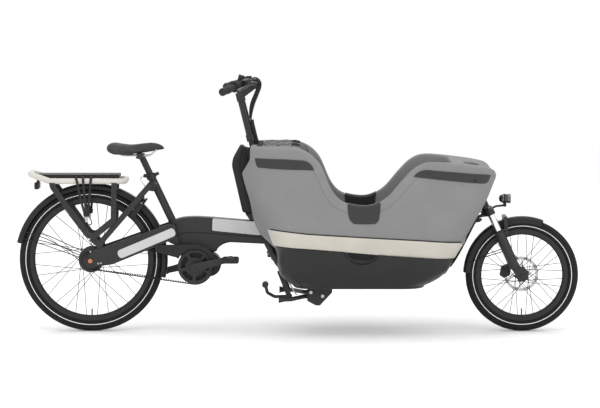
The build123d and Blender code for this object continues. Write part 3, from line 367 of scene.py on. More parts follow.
def joined(*parts):
    """Several (verts, faces) pairs as one."""
    verts, faces = [], []
    for part_verts, part_faces in parts:
        shift = len(verts)
        verts += part_verts
        faces += [tuple(i + shift for i in face) for face in part_faces]
    return verts, faces


def frames_along(points):
    """Point, side and up directions along an open line, turned as little as possible."""
    ahead = []
    for i in range(len(points)):
        before, after = points[max(0, i - 1)], points[min(len(points) - 1, i + 1)]
        ahead.append((after - before).normalized())
    side = ahead[0].orthogonal().normalized()
    made = []
    for point, forward in zip(points, ahead):
        side = (side - forward * side.dot(forward)).normalized()
        made.append((point, side, forward.cross(side)))
    return made


def circle(centre, side, up, radius, segments):
    turns = [2 * pi * k / segments for k in range(segments)]
    return [centre + (side * cos(turn) + up * sin(turn)) * radius for turn in turns]


def tube(points, radius, segments=12):
    """A round tube with closed ends."""
    line = frames_along([Vector(p) for p in points])
    return capped([circle(point, side, up, radius, segments) for point, side, up in line])


def smooth_line(points, steps=8):
    """A Catmull-Rom line through the points."""
    points = [Vector(p) for p in points]
    ends = [points[0] * 2 - points[1]] + points + [points[-1] * 2 - points[-2]]
    made = []
    for p0, p1, p2, p3 in zip(ends, ends[1:], ends[2:], ends[3:]):
        for k in range(steps):
            t = k / steps
            made.append(((p1 * 2) + (p2 - p0) * t + (p0 * 2 - p1 * 5 + p2 * 4 - p3) * t ** 2
                         + (p1 * 3 - p0 - p2 * 3 + p3) * t ** 3) * 0.5)
    return made + [points[-1]]


def lathe(outline, origin, axis, segments=48, closed=True):
    """Turns an outline of (radius, distance along the axis) about an axis."""
    origin, axis = Vector(origin), Vector(axis).normalized()
    side = axis.orthogonal().normalized()
    up = axis.cross(side)
    rows = [circle(origin + axis * along, side, up, radius, segments) for radius, along in outline]
    return grid(rows, wrap_rows=True) if closed else capped(rows)


def block(low, high):
    """An axis-aligned box for a cutter or a small fitting, before its bevel."""
    verts = [(x, y, z) for x in (low[0], high[0]) for y in (low[1], high[1]) for z in (low[2], high[2])]
    faces = [(0, 1, 3, 2), (4, 6, 7, 5), (0, 4, 5, 1), (2, 3, 7, 6), (0, 2, 6, 4), (1, 5, 7, 3)]
    return verts, faces


def prism(outline, y_low, y_high):
    """A plate from an outline in X and Z."""
    count = len(outline)
    verts = [(x, y, z) for y in (y_low, y_high) for x, z in outline]
    faces = [tuple(range(count)), tuple(reversed(range(count, 2 * count)))]
    faces += [(i, (i + 1) % count, count + (i + 1) % count, count + i) for i in range(count)]
    return verts, faces


def bevel(width, segments=2):
    values = {"width": width * MM, "segments": segments, "limit_method": "ANGLE", "angle_limit": radians(35)}
    return "BEVEL", values


def cutter(verts, faces):
    mesh = bpy.data.meshes.new("cutter")
    mesh.from_pydata([Vector(v) * MM for v in verts], [], faces)
    tidy_normals(mesh)
    return bpy.data.objects.new("cutter", mesh)


def cut(obj, *solids):
    """Takes closed solids away from a piece and keeps the result as its mesh."""
    for verts, faces in solids:
        tool = cutter(verts, faces)
        bpy.context.scene.collection.objects.link(tool)
        added = obj.modifiers.new("cut", "BOOLEAN")
        added.operation, added.object, added.solver = "DIFFERENCE", tool, "EXACT"
        bake(obj)
        bpy.data.objects.remove(tool)


def bake(obj, smooth_angle=40):
    """Applies a piece's modifiers."""
    depsgraph = bpy.context.evaluated_depsgraph_get()
    made = bpy.data.meshes.new_from_object(obj.evaluated_get(depsgraph))
    obj.modifiers.clear()
    obj.data = made
    finish_shading(made, smooth_angle)


def extra_bevel(name, solid, material, body, width, slot):
    """A small hard fitting with rounded edges."""
    return piece(name, *solid, material, body, slot, modifiers=[bevel(width, 3)])


# ---------------------------------------------------------------- cargo box
# each row is a height, then the section's rear x, front x, half width and corner radius
TUB_OUTER = [
    (300, -66, 660, 226, 105), (450, -143, 772, 288, 140),
    (620, -218, 853, 311, 150), (862, -262, 952, 322, 150),
]
TUB_CAVITY = [
    (320, 0, 606, 198, 70), (450, 4, 640, 250, 80),
    (620, 8, 672, 273, 90), (875, 12, 700, 284, 90),
]
SHELL_OUTER = [
    (212, 0, 545, 188, 90), (240, -48, 610, 216, 100),
    (310, -92, 687, 256, 120), (405, -112, 746, 284, 140),
]
DECK_Z = 858


def section_at(table, z):
    """Rear x, front x, half width and corner radius at a height, from a cubic through the four rows."""
    made = []
    for column in range(1, 5):
        total = 0.0
        for i, row in enumerate(table):
            weight = 1.0
            for k, other in enumerate(table):
                if k != i:
                    weight *= (z - other[0]) / (row[0] - other[0])
            total += weight * row[column]
        made.append(total)
    return made


def on_line(line, x):
    """Height of a line at x."""
    for (x0, z0), (x1, z1) in zip(line, line[1:]):
        if x <= x1:
            return z0 + (z1 - z0) * (x - x0) / (x1 - x0)
    return line[-1][1]


def around(spans):
    """Positions round half the box, as (span, share of the span)."""
    made = []
    for span, count in enumerate(spans):
        made += [(span, k / count) for k in range(count)]
    return made + [(len(spans) - 1, 1.0)]


SPANS = (5, 14, 76, 12, 6)
HALF_ROUND = around(SPANS)


def point_at(section, span, share):
    """A point on one half of a rounded rectangle: rear, corner, side, corner, front."""
    x_rear, x_front, half_width, corner = section
    if span == 0:
        return x_rear, share * (half_width - corner)
    if span == 1:
        turn = share * pi / 2
        return x_rear + corner * (1 - cos(turn)), half_width - corner + corner * sin(turn)
    if span == 2:
        return x_rear + corner + share * (x_front - x_rear - 2 * corner), half_width
    if span == 3:
        turn = share * pi / 2
        return x_front - corner + corner * sin(turn), half_width - corner + corner * cos(turn)
    return x_front, (1 - share) * (half_width - corner)


BAND_TOP = [(-400, 505), (-133, 494), (53, 469), (266, 455), (551, 439), (731, 427), (1000, 421)]
BAND_FOOT = [(-400, 418), (-180, 416), (-90, 413), (195, 390), (408, 372), (683, 355), (1000, 346)]
BAND_REAR_X, BAND_REAR_Y = -104, 196
STEP_IN, STEP_HEIGHT = 14, 20
LEAN_X, LEAN_Z, LEAN_AHEAD, LEAN_HEIGHT = -246, 742, 32, 55
SWELL_LOW, SWELL_HIGH, REAR_SWELL, FRONT_TUCK = 424, 640, 24, 12


def ramp_up(value):
    """The value, kept between 0 and 1."""
    return min(1, max(0, value))


def outer_xy(span, share, z):
    """The outer wall. It steps in under the band, leans at the rear's top and swells above the band."""
    section = section_at(TUB_OUTER, z)
    x, y = point_at(section, span, share)
    if x < BAND_REAR_X:
        step_z = on_line(BAND_FOOT, x) - 4
    else:
        step_z = (on_line(BAND_TOP, x) + on_line(BAND_FOOT, x)) / 2
    inset = STEP_IN * ramp_up((step_z - z) / STEP_HEIGHT)
    if inset:
        x_rear, x_front, half_width, corner = section
        x, y = point_at((x_rear + inset, x_front - inset, half_width - inset, corner - inset), span, share)
    if z > LEAN_Z:
        x = max(x, LEAN_X + LEAN_AHEAD * min(1, (z - LEAN_Z) / LEAN_HEIGHT))
    if SWELL_LOW < z < SWELL_HIGH:
        swell = min(1, (z - SWELL_LOW) / 26) * min(1, (SWELL_HIGH - z) / 150)
        swell *= swell * (3 - 2 * swell)
        if x < 0:
            x -= REAR_SWELL * swell * ramp_up((BAND_REAR_Y - y) / 40)
        else:
            x -= FRONT_TUCK * swell * ramp_up((x - 600) / 100)
    return x, y


# x of the outer wall's side, and x of the inner wall that belongs to it
COLUMN_MAP = [(-112, 102), (150, 158), (560, 552), (802, 610)]


def inner_share(share):
    """Lines the inner wall's columns up with the outer wall's over the entry."""
    (outer_rear, inner_rear), (outer_front, inner_front) = COLUMN_MAP[0], COLUMN_MAP[-1]
    x = outer_rear + (outer_front - outer_rear) * share
    return (on_line(COLUMN_MAP, x) - inner_rear) / (inner_front - inner_rear)


def inner_xy(span, share, z):
    return point_at(section_at(TUB_CAVITY, z), span, inner_share(share) if span == 2 else share)


def spline_line(points, steps=24):
    return [(p.x, p.y) for p in smooth_line([(x, z, 0) for x, z in points], steps)]


RIM_LINE = [(-400, DECK_Z), (-60, DECK_Z)] + spline_line(
    [
        (-30, 858), (10, 850), (52, 832), (84, 804), (110, 766), (152, 670), (196, 621), (262, 601),
        (330, 602),
        (400, 640), (468, 717), (520, 768), (578, 793), (672, 790), (832, 769), (878, 752), (900, 712),
    ]
) + [(1000, 560)]


def rim_z(x):
    return on_line(RIM_LINE, x)


def edge_point(wall, span, share):
    """Where a wall's column meets the rim."""
    z = 760.0
    for _ in range(60):
        z += 0.5 * (rim_z(wall(span, share, z)[0]) - z)
    x, y = wall(span, share, z)
    return Vector((x, y, z))


def rim_profile(wall, towards):
    """The wall's edge as a rounded roll: for each column, points from below the edge to the deck."""
    edge = [edge_point(wall, *place) for place in HALF_ROUND]
    rolls = []
    for i, (point, (span, share)) in enumerate(zip(edge, HALF_ROUND)):
        before, after = edge[max(0, i - 1)], edge[min(len(edge) - 1, i + 1)]
        tangent = (after - before).normalized()
        lower = Vector((*wall(span, share, point.z - 20), point.z - 20))
        down = lower - point
        down = (down - tangent * down.dot(tangent)).normalized()
        slope = (rim_z(point.x + 2) - rim_z(point.x - 2)) / 4
        deck_normal = Vector((-slope, 0, 1)).normalized()
        inward = deck_normal.cross(tangent).normalized()
        if inward.dot(towards[i] - point) < 0:
            inward = -inward
        rolls.append((point, down, inward))
    return rolls


EDGE_ROLL = 11
SEAM_DROP = 40
SEAM_FROM, SEAM_TO = 96, 520
outer_edge = [edge_point(outer_xy, *place) for place in HALF_ROUND]
inner_edge = [edge_point(inner_xy, *place) for place in HALF_ROUND]
outer_rolls = rim_profile(outer_xy, inner_edge)
inner_rolls = rim_profile(inner_xy, outer_edge)


def roll_rows(rolls, steps=5):
    """Rows of points round a rolled edge, from the wall to the deck."""
    rows = []
    for k in range(steps + 1):
        below, inside = EDGE_ROLL * (1 - k / steps) ** 2, EDGE_ROLL * (k / steps) ** 2
        rows.append([point + down * below + inward * inside for point, down, inward in rolls])
    return rows


def wall_rows(wall, rolls, bottom, drops, count):
    """Rows of points up a wall, from its foot to its rolled edge, with extra rows at the given drops."""
    seam_rows = []
    for drop, depth in drops:
        row = []
        for (point, down, inward), (span, share) in zip(rolls, HALF_ROUND):
            z = point.z + down.z * drop
            along = point + down * drop
            x, y = wall(span, share, z)
            shift = Vector((along.x - x, 0, 0)) if span == 2 else Vector()
            shown = 1 if SEAM_FROM < point.x < SEAM_TO else 0
            row.append(Vector((x, y, z)) + shift + inward * depth * shown)
        seam_rows.append(row)
    rows = []
    for k in range(count):
        t = k / count
        row = []
        for top, (span, share) in zip(seam_rows[0], HALF_ROUND):
            z = bottom + (top.z - bottom) * t
            x, y = wall(span, share, z)
            x_top = wall(span, share, top.z)[0]
            row.append(Vector((x + (top.x - x_top) * t ** 2, y, z)))
        rows.append(row)
    return rows + seam_rows


# drops below the rim and depths there: a fine moulded groove follows the entry
SEAM_SHAPE = ((2.5, 0), (1, 1.6), (-1, 1.6), (-2.5, 0))
SEAM = [(56, 0)] + [(SEAM_DROP + drop, depth) for drop, depth in SEAM_SHAPE] + [(24, 0)]
outer_rows = wall_rows(outer_xy, outer_rolls, 300, SEAM, 22)
top_outer = roll_rows(outer_rolls)
inner_wall = wall_rows(inner_xy, inner_rolls, 322, ((40, 0), (24, 0)), 18)
top_inner = roll_rows(inner_rolls)
deck_rows = []
DECK_STEPS = 8
for k in range(1, DECK_STEPS):
    row = []
    for start, stop in zip(top_outer[-1], top_inner[-1]):
        spot = start.lerp(stop, k / DECK_STEPS)
        row.append(Vector((spot.x, spot.y, rim_z(spot.x))))
    deck_rows.append(row)
half_rows = outer_rows + top_outer + deck_rows + top_inner[::-1] + inner_wall[::-1]


def full_ring(half_row):
    """Adds the other half of a ring that runs from the rear middle to the front middle."""
    other = [Vector((v[0], -v[1], v[2])) for v in reversed(half_row[1:-1])]
    return list(half_row) + other


tub = piece("cargo_tub", *capped([full_ring(row) for row in half_rows]), BOX_FOAM, "frame", "box_foam")
REAR_CHANNEL = [(-400, 236), (-14, 236), (-34, 320), (-62, 420), (-148, 790), (-152, 900), (-400, 900)]
FRONT_CHANNEL = [(566, 200), (596, 262), (690, 400), (730, 500), (750, 570), (785, 650), (1000, 650),
                 (1000, 200)]
rear_channel, front_channel = prism(REAR_CHANNEL, -60, 60), prism(FRONT_CHANNEL, -98, 98)


def socket(radius, depth, x, y, z):
    """A cutter for an upright round hole."""
    return lathe([(0.01, 0), (radius, 0), (radius, depth), (0.01, depth)], (x, y, z), (0, 0, 1), 24, False)


sockets = [socket(8, 60, x, y, z) for x, z in ((-70, DECK_Z - 45), (740, 741)) for y in (-235, 235)]
sockets += [socket(7, 40, x, y, 757) for x, y in ((818, -12), (842, -40), (830, -185))]
SCOOP_CENTRE, SCOOP_ALONG, SCOOP_ACROSS = (784, -115), 36, 90
scoop_rows = []
for size, z in ((0.01, 752), (0.8, 752), (0.93, 756), (1, 764), (1, 812), (0.01, 812)):
    along, across = Vector((SCOOP_ALONG, 0, 0)), Vector((0, SCOOP_ACROSS, 0))
    scoop_rows.append(circle(Vector((*SCOOP_CENTRE, z)), along, across, size, 40))
cut(tub, rear_channel, front_channel, *sockets, grid(scoop_rows))
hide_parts("cargo_box")
extra_bevel("bench_base", block((-10, -238, 330), (284, 238, 456)), BOX_FOAM, "frame", 10, "box_foam")

# ---------------------------------------------------------------- lower shell and band
SHELL_TOP = [(-400, 414), (-90, 411), (195, 388), (408, 370), (683, 353), (1000, 345)]
POCKET_X, POCKET_Z, POCKET_HALF, POCKET_DROP, POCKET_DEPTH = 287, 392, 82, 62, 12
POCKET_SHARE, CROWDING = 0.47, 0.0672
SHELL_KNEE, SHELL_THICKNESS = 224, 5


def crowd(share):
    return -CROWDING * sin(2 * pi * (share - POCKET_SHARE))


def shell_point(span, share, z):
    """A point of the shell's wall. The side's columns are crowded round the pocket."""
    if span == 2:
        share = min(1.0, max(0.0, share + crowd(share) - crowd(0)))
    return point_at(section_at(SHELL_OUTER, z), span, share)


def pocket_depth(x, z):
    away = math.hypot((x - POCKET_X) / POCKET_HALF, (z - POCKET_Z) / POCKET_DROP)
    lip = 3.2 * max(0, 1 - abs(away - 1.07) / 0.07)
    inside = min(1, max(0, (1 - away) / 0.09))
    return POCKET_DEPTH * inside * inside * (3 - 2 * inside) - lip


shell_rows = []
SHELL_STEPS = 46
for k in range(SHELL_STEPS + 1):
    row = []
    for span, share in HALF_ROUND:
        top = on_line(SHELL_TOP, shell_point(span, share, 380)[0])
        z = SHELL_KNEE + (top - SHELL_KNEE) * (1 - k / SHELL_STEPS)
        x, y = shell_point(span, share, z)
        if span == 2:
            y -= pocket_depth(x, z)
        row.append(Vector((x, y, z)))
    shell_rows.append(row)
for shrink, z in ((3, 218), (9, 213.5), (17, 212), (60, 212), (110, 212)):
    x_rear, x_front, half_width, corner = section_at(SHELL_OUTER, SHELL_KNEE)
    section = (x_rear + shrink, x_front - shrink, half_width - shrink, max(20, corner - shrink))
    shell_rows.append([Vector((*point_at(section, *place), z)) for place in HALF_ROUND])
shell_verts, shell_faces = grid([full_ring(row) for row in shell_rows])
shell_faces.append(tuple(range(len(shell_verts) - len(full_ring(shell_rows[0])), len(shell_verts))))
shell = piece(
    "cargo_pan", shell_verts, shell_faces, SHELL_GREY, "frame", "shell_plastic",
    modifiers=[("SOLIDIFY", {"thickness": SHELL_THICKNESS * MM, "offset": -1})],
)
bake(shell)
cut(shell, rear_channel, front_channel)
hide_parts("cargo_shell")


def band_ring(foot, top, profile):
    """A closed strip round the tub between two lines. The profile is (share of the height, distance out)."""
    rows = []
    for share_up, out in profile:
        row = []
        for span, share in HALF_ROUND:
            x = outer_xy(span, share, 430)[0]
            low, high = on_line(foot, x), on_line(top, x)
            z = low + (high - low) * share_up
            x_rear, x_front, half_width, corner = section_at(TUB_OUTER, z)
            section = (x_rear - out, x_front + out, half_width + out, corner + out)
            row.append(Vector((*point_at(section, span, share), z)))
        rows.append(row)
    return grid([full_ring(row) for row in rows], wrap_rows=True)


BAND_OUT, BAND_IN = 7.0, 0.4
edge = [(0.0, BAND_IN), (0.0, BAND_OUT * 0.55), (0.02, BAND_OUT * 0.8), (0.06, BAND_OUT * 0.95)]
crown = [(0.06 + 0.88 * k / 6, BAND_OUT * (0.95 + 0.05 * sin(pi * k / 6))) for k in range(1, 6)]
band_profile = edge + crown + [(1 - share_up, out) for share_up, out in reversed(edge)]
band_mesh = band_ring(BAND_FOOT, BAND_TOP, band_profile)
band = piece("cream_band", *band_mesh, BAND_PEARL, "frame", "band_paint")


def band_end(top, foot, beyond, corner):
    """A cutter past one end of the band. Both of the end's corners are rounded."""
    towards = 1 if beyond > top[0] else -1
    low_z, high_z = 250, 600
    quarter = [radians(90 * k / 8) for k in range(9)]
    top_x, foot_x = top[0] - towards * corner, foot[0] - towards * corner
    outline = [(beyond, high_z), (top_x, high_z)]
    outline += [(top_x + towards * corner * sin(turn), top[1] - corner * (1 - cos(turn))) for turn in quarter]
    outline += [(foot_x + towards * corner * cos(turn),
                 foot[1] + corner * (1 - sin(turn))) for turn in quarter]
    return prism(outline + [(foot_x, low_z), (beyond, low_z)], -400, 400)


REAR_END, FRONT_END = ((-135, 492), (-115, 415), -400, 11), ((739, 427), (716, 354), 1000, 13)
cut(band, band_end(*REAR_END), band_end(*FRONT_END), front_channel)
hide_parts("cargo_band")

gasket_foot, gasket_top = ([(x, z + rise) for x, z in BAND_TOP] for rise in (0.3, 4.5))
gasket_mesh = band_ring(gasket_foot, gasket_top, [(0, 0.3), (0, 3), (0.5, 3.6), (1, 3), (1, 0.3)])
gasket = piece("band_gasket", *gasket_mesh, BLACK_AND_PAINTED_SHADE, "frame", "dark_plastic")
cut(gasket, *[block((rear, -400, 380), (front, 400, 560)) for rear, front in ((-400, -124), (732, 1000))])


PLATE_EDGE = [(0, 0.0), (0, 0.55), (0.9, 0.9), (2.2, 1.0)]  # distance from the edge, share of the thickness


def wall_plate(name, table, top, foot, material, out, start, stop, thickness=4.0):
    """A thin plate on a wall between two lines, its edges rounded. Out is its height off the wall."""
    parts = []
    for sign in (1, -1):
        rows = []
        for i in range(65):
            x = start + (stop - start) * (0.5 - 0.5 * cos(pi * i / 64))
            high, low = on_line(top, x), on_line(foot, x)
            end = min(1, min(x - start, stop - x) / 2.0 + 0.05)
            row = []
            span = max(0.1, high - low)
            places = [(low + min(a, span * 0.3), b) for a, b in PLATE_EDGE]
            places += [(low + span * k / 7, 1.0) for k in range(1, 7)]
            places += [(high - min(a, span * 0.3), b) for a, b in reversed(PLATE_EDGE)]
            places.sort(key=lambda place: place[0])
            places[0], places[-1] = (low, 0.0), (high, 0.0)
            for z, rise in places:
                x_rear, x_front, half_width, corner = section_at(table, z)
                lean = max(x_rear + corner - x, x - x_front + corner, 0)
                y = half_width - corner + math.sqrt(max(0, corner ** 2 - lean ** 2))
                row.append(Vector((x, sign * (y + out + thickness * rise * end), z)))
            rows.append(row)
        parts.append(grid(rows, wrap_columns=False))
    return piece(name, *joined(*parts), material, "frame", "dark_plastic", 50)


REAR_TRIM_TOP = [(-192, 812), (-60, 808), (20, 803), (39, 800)]
REAR_TRIM_TOP += spline_line([(39, 800), (59, 783), (72, 760)], 8)
REAR_TRIM_FOOT = [(-192, 811), (-190, 800), (-184, 778), (-178, 771), (-65, 763), (72, 759.5)]
FRONT_TRIM_TOP = spline_line([(515, 731), (528, 745), (544, 755), (567, 761)], 8)
FRONT_TRIM_TOP += [(700, 750), (850, 737), (862, 733)]
FRONT_TRIM_FOOT = [(515, 730.5), (600, 720), (667, 713), (830, 697), (843, 699), (852, 706), (862, 730)]
ENTRY_FOOT = spline_line([(221, 600), (225, 565), (230, 541), (244, 524), (262, 518), (336, 518), (352, 524),
                          (361, 541), (365, 565), (368, 600)], 6)
ENTRY_TOP = [(x, rim_z(x) - 5) for x in range(200, 400, 8)]
PANEL_FOOT = spline_line([(218, 600), (221, 570), (226, 549), (240, 540), (340, 540), (356, 549), (361, 570),
                          (363, 600)], 6)
PANEL_TOP = [(x, rim_z(x) - 4) for x in range(200, 400, 8)]
trims = wall_plate("box_trim_rear", TUB_OUTER, REAR_TRIM_TOP, REAR_TRIM_FOOT, TRIM_GREY, 0.2, -192, 72)
wall_plate("box_trim_front", TUB_OUTER, FRONT_TRIM_TOP, FRONT_TRIM_FOOT, TRIM_GREY, 0.2, 515, 862)
wall_plate("box_trim_entry", TUB_OUTER, ENTRY_TOP, ENTRY_FOOT, TRIM_GREY, 0.2, 221, 368)
wall_plate("entry_panel", TUB_CAVITY, PANEL_TOP, PANEL_FOOT, TRIM_DARK, -0.2, 218, 363, -4.0)
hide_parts("box_trims")


def entry_cap(start, stop, count=40):
    """The dark cover over the rim at the entry, from one plate to the other."""
    parts = []
    for sign in (1, -1):
        rows = []
        for i in range(count + 1):
            x = start + (stop - start) * i / count
            rim = rim_z(x)
            y_out, y_in = section_at(TUB_OUTER, rim)[2], section_at(TUB_CAVITY, rim)[2]
            profile = [(y_out + 3.8, rim - 15), (y_out + 2.6, rim - 6), (y_out - 1, rim - 0.5),
                       (y_out - 7, rim + 2.6)]
            profile += [(y_out - 7 + (y_in - y_out + 14) * k / 4, rim + 3) for k in range(1, 4)]
            profile += [(y_in + 7, rim + 2.6), (y_in + 1, rim - 0.5), (y_in - 2.6, rim - 6),
                        (y_in - 3.8, rim - 15)]
            profile += [(y_in + 3, rim - 15), ((y_out + y_in) / 2, rim - 2), (y_out - 3, rim - 15)]
            rows.append([Vector((x, sign * y, z)) for y, z in profile])
        parts.append(capped(rows))
    return joined(*parts)


piece("entry_cap", *entry_cap(223, 365), TRIM_GREY, "frame", "dark_plastic")
# Painted shade: a near-black sheet set 11.6 mm into the shell's pocket stands for the shade inside the
# recess.
POCKET_TOP = [(200, on_line(SHELL_TOP, 200) - 1), (370, on_line(SHELL_TOP, 370) - 1)]
POCKET_FOOT = spline_line([(224, 384), (230, 368), (246, 356), (287, 351), (328, 353), (344, 362),
                           (352, 376)], 6)
wall_plate("shell_pocket_painted_shade", SHELL_OUTER, POCKET_TOP, POCKET_FOOT, BLACK_AND_PAINTED_SHADE, -11.6, 224, 352, 1.2)

# ---------------------------------------------------------------- tyres


def tyre(name, node, body, centre, outer_r, line_r):
    """A tyre with raised shoulder blocks and grooves, and a light line on each sidewall."""
    half = 26
    ring_r = outer_r - half
    around_count, across = 240, 40
    rows = []
    start, stop = radians(-145), radians(145)
    for i in range(around_count):
        turn = 2 * pi * i / around_count
        out = Vector((cos(turn), 0, sin(turn)))
        row = []
        for k in range(across + 1):
            lean = start + (stop - start) * k / across
            shoulder = abs(math.degrees(lean))
            depth = 0.0
            if shoulder < 52:
                block_turn = (i + (3 if lean > 0 else 0)) % 6
                if shoulder > 16 and block_turn == 0:
                    depth = 1.6
                if 9 < shoulder < 14:
                    depth = 1.4
            elif shoulder < 58:
                depth = 0.5
            r = half - depth
            row.append(Vector(centre) + out * (ring_r + r * cos(lean)) + Vector((0, r * sin(lean), 0)))
        inner_r = half - 5
        for k in range(across // 2 + 1):
            lean = stop - (stop - start) * k / (across // 2)
            inner_y = Vector((0, inner_r * sin(lean), 0))
            row.append(Vector(centre) + out * (ring_r + inner_r * cos(lean)) + inner_y)
        rows.append(row)
    made = piece(name, *grid(rows, wrap_rows=True), TYRE, body, "tyre_rubber", smooth_angle=50)
    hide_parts(node)
    parts = []
    for sign in (1, -1):
        rows = []
        for i in range(160):
            turn = 2 * pi * i / 160
            out = Vector((cos(turn), 0, sin(turn)))
            row = []
            for r, rise in ((line_r - 1.6, -0.4), (line_r - 1.3, 0.25), (line_r + 1.3, 0.25),
                            (line_r + 1.6, -0.4)):
                y = math.sqrt(half ** 2 - (r - ring_r) ** 2) + rise
                row.append(Vector(centre) + out * r + Vector((0, sign * y, 0)))
            rows.append(row)
        parts.append(grid(rows, wrap_rows=True))
    piece(name + "_line", *joined(*parts), LINE_WHITE, body, "tyre_rubber")


tyre("rear_tread", "rear_tyre", "rear_wheel", (-944, 0, 330), 330, 299)
tyre("front_tread", "front_tyre", "front_wheel", (1025, 0, 258), 258, 226)


# ---------------------------------------------------------------- cushions
def settle(obj, pressure, cap, frames=20, voxel=6):
    """Swells a closed form as stuffed cloth, by cap millimetres at most, then keeps the result."""
    remesh = obj.modifiers.new("remesh", "REMESH")
    remesh.mode, remesh.voxel_size = "VOXEL", voxel * MM
    bake(obj, 180)
    start = [v.co.copy() for v in obj.data.vertices]
    cloth = obj.modifiers.new("cloth", "CLOTH")
    settings = cloth.settings
    settings.use_pressure = True
    settings.uniform_pressure_force = pressure
    settings.effector_weights.gravity = 0
    settings.tension_stiffness = settings.compression_stiffness = 30
    settings.bending_stiffness = 4
    settings.quality = 5
    cloth.point_cache.frame_start, cloth.point_cache.frame_end = 1, frames
    for number in range(1, frames + 1):
        bpy.context.scene.frame_set(number)
    bake(obj, 180)
    bpy.context.scene.frame_set(1)
    for vertex, before in zip(obj.data.vertices, start):
        move = vertex.co - before
        if move.length > cap * MM:
            vertex.co = before + move.normalized() * cap * MM
    smooth = obj.modifiers.new("smooth", "SMOOTH")
    smooth.factor, smooth.iterations = 0.5, 4
    subdivision = obj.modifiers.new("subdivision", "SUBSURF")
    subdivision.levels = subdivision.render_levels = 1
    bake(obj, 180)


def pillow(low, high, crown, grid_count=(14, 14), pinch=0.3):
    """A crowned closed cushion between two corners; the crown lies along Z."""
    cx, cy = (low[0] + high[0]) / 2, (low[1] + high[1]) / 2
    hx, hy = (high[0] - low[0]) / 2, (high[1] - low[1]) / 2
    mid, thick = (low[2] + high[2]) / 2, (high[2] - low[2]) / 2
    nx, ny = grid_count
    faces_of = []
    for sign in (1, -1):
        rows = []
        for i in range(nx + 1):
            row = []
            for j in range(ny + 1):
                u, v = 2 * i / nx - 1, 2 * j / ny - 1
                swell = (1 - abs(u) ** 4) * (1 - abs(v) ** 4)
                body = swell ** 0.35
                x = cx + hx * u * (1 - pinch * 0.06 * (1 - v * v))
                y = cy + hy * v * (1 - pinch * 0.03 * (1 - u * u))
                rise = thick * 0.75 * body + (crown * swell if sign > 0 else 0)
                row.append(Vector((x, y, mid - crown / 2 + sign * rise)))
            rows.append(row)
        faces_of.append(grid(rows, wrap_columns=False))
    return joined(*faces_of)


CHANNEL_HALF, CHANNEL_DEPTH = 16, 3.2  # the sewn channels of a cushion


def cushion(name, low, high, crown, channels, transform=None):
    """A stuffed pad with sewn channels across it at the given y values."""
    verts, faces = pillow(low, high, crown)
    if transform:
        verts = [transform @ v for v in verts]
    obj = piece(name, verts, faces, CUSHION, "frame", "cushion_fabric", 180)
    settle(obj, 3.0, 8, 16, 7)
    for vertex in obj.data.vertices:
        y = vertex.co.y / MM
        for channel in channels:
            near = abs(y - channel)
            if near < CHANNEL_HALF:
                pull = CHANNEL_DEPTH * (1 - near / CHANNEL_HALF) ** 2 * MM
                vertex.co -= vertex.normal * pull
    obj.data.update()
    return obj


for sign, side in ((1, "left"), (-1, "right")):
    y_low, y_high = sorted((sign * 5, sign * 226))
    cushion(f"bench_seat_{side}", (54, y_low, 459), (282, y_high, 493), 5,
                              (sign * 78, sign * 152))
    y_low, y_high = sorted((sign * 4, sign * 200))
    upright = Matrix.Translation((32, 0, 630)) @ Matrix.Rotation(radians(90), 4, "Y")
    cushion(f"bench_back_{side}", (-166, y_low, -12), (166, y_high, 12), 3,
                              (sign * 68, sign * 136), upright)
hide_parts("bench_cushions")


# ---------------------------------------------------------------- straps
def ribbon(points, width, thickness, across):
    """A flat strap of webbing along a line; across is the direction of its width."""
    line = smooth_line(points)
    across = Vector(across).normalized()
    rows = []
    for i, point in enumerate(line):
        ahead = (line[min(i + 1, len(line) - 1)] - line[max(i - 1, 0)]).normalized()
        out = ahead.cross(across).normalized()
        wide = out.cross(ahead).normalized() * width / 2
        thin = out * thickness / 2
        ridge = wide * 0.86
        rows.append([point - wide, point - ridge + thin, point + ridge + thin, point + wide,
                     point + ridge - thin, point - ridge - thin])
    return capped(rows)


for number, y in enumerate((-165, -75, 75, 165)):
    drift = 3 * (-1) ** number
    route = [(-150, y + drift, 861), (-118, y - drift, 866), (-88, y, 861.5), (-58, y + drift, 867),
             (-28, y - drift, 863),
             (6, y, 857), (34, y, 843), (48, y, 812), (50.5, y + drift, 720), (50, y, 630),
             (52, y - drift, 566)]
    strap = piece(f"harness_strap_{number}", *ribbon(route, 24, 1.8, (0, 1, 0)), WEBBING, "frame",
                  "strap_web", 60)
    if number == 0:
        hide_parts("harness_straps")
    extra_bevel(f"harness_buckle_{number}", block((50, y - 17, 655), (60, y + 17, 700)), BLACK_PLASTIC,
                "frame", 3, "black_plastic")
    loop = [(-30, y - 18, 862), (-14, y - 20, 864), (2, y - 14, 861), (10, y, 859), (2, y + 14, 861),
            (-14, y + 20, 864), (-30, y + 18, 862)]
    piece(f"harness_loop_{number}", *tube(smooth_line(loop, 5), 2.0, 8), BLACK_PLASTIC, "frame",
          "black_plastic")
    # Painted shade: a near-black plate on the deck stands for the dark opening of each strap slot.
    extra_bevel(f"harness_slot_painted_shade_{number}", block((-184, y - 15, 857), (-158, y + 15, 861)), BLACK_AND_PAINTED_SHADE,
                "frame", 1.5, "black_plastic")

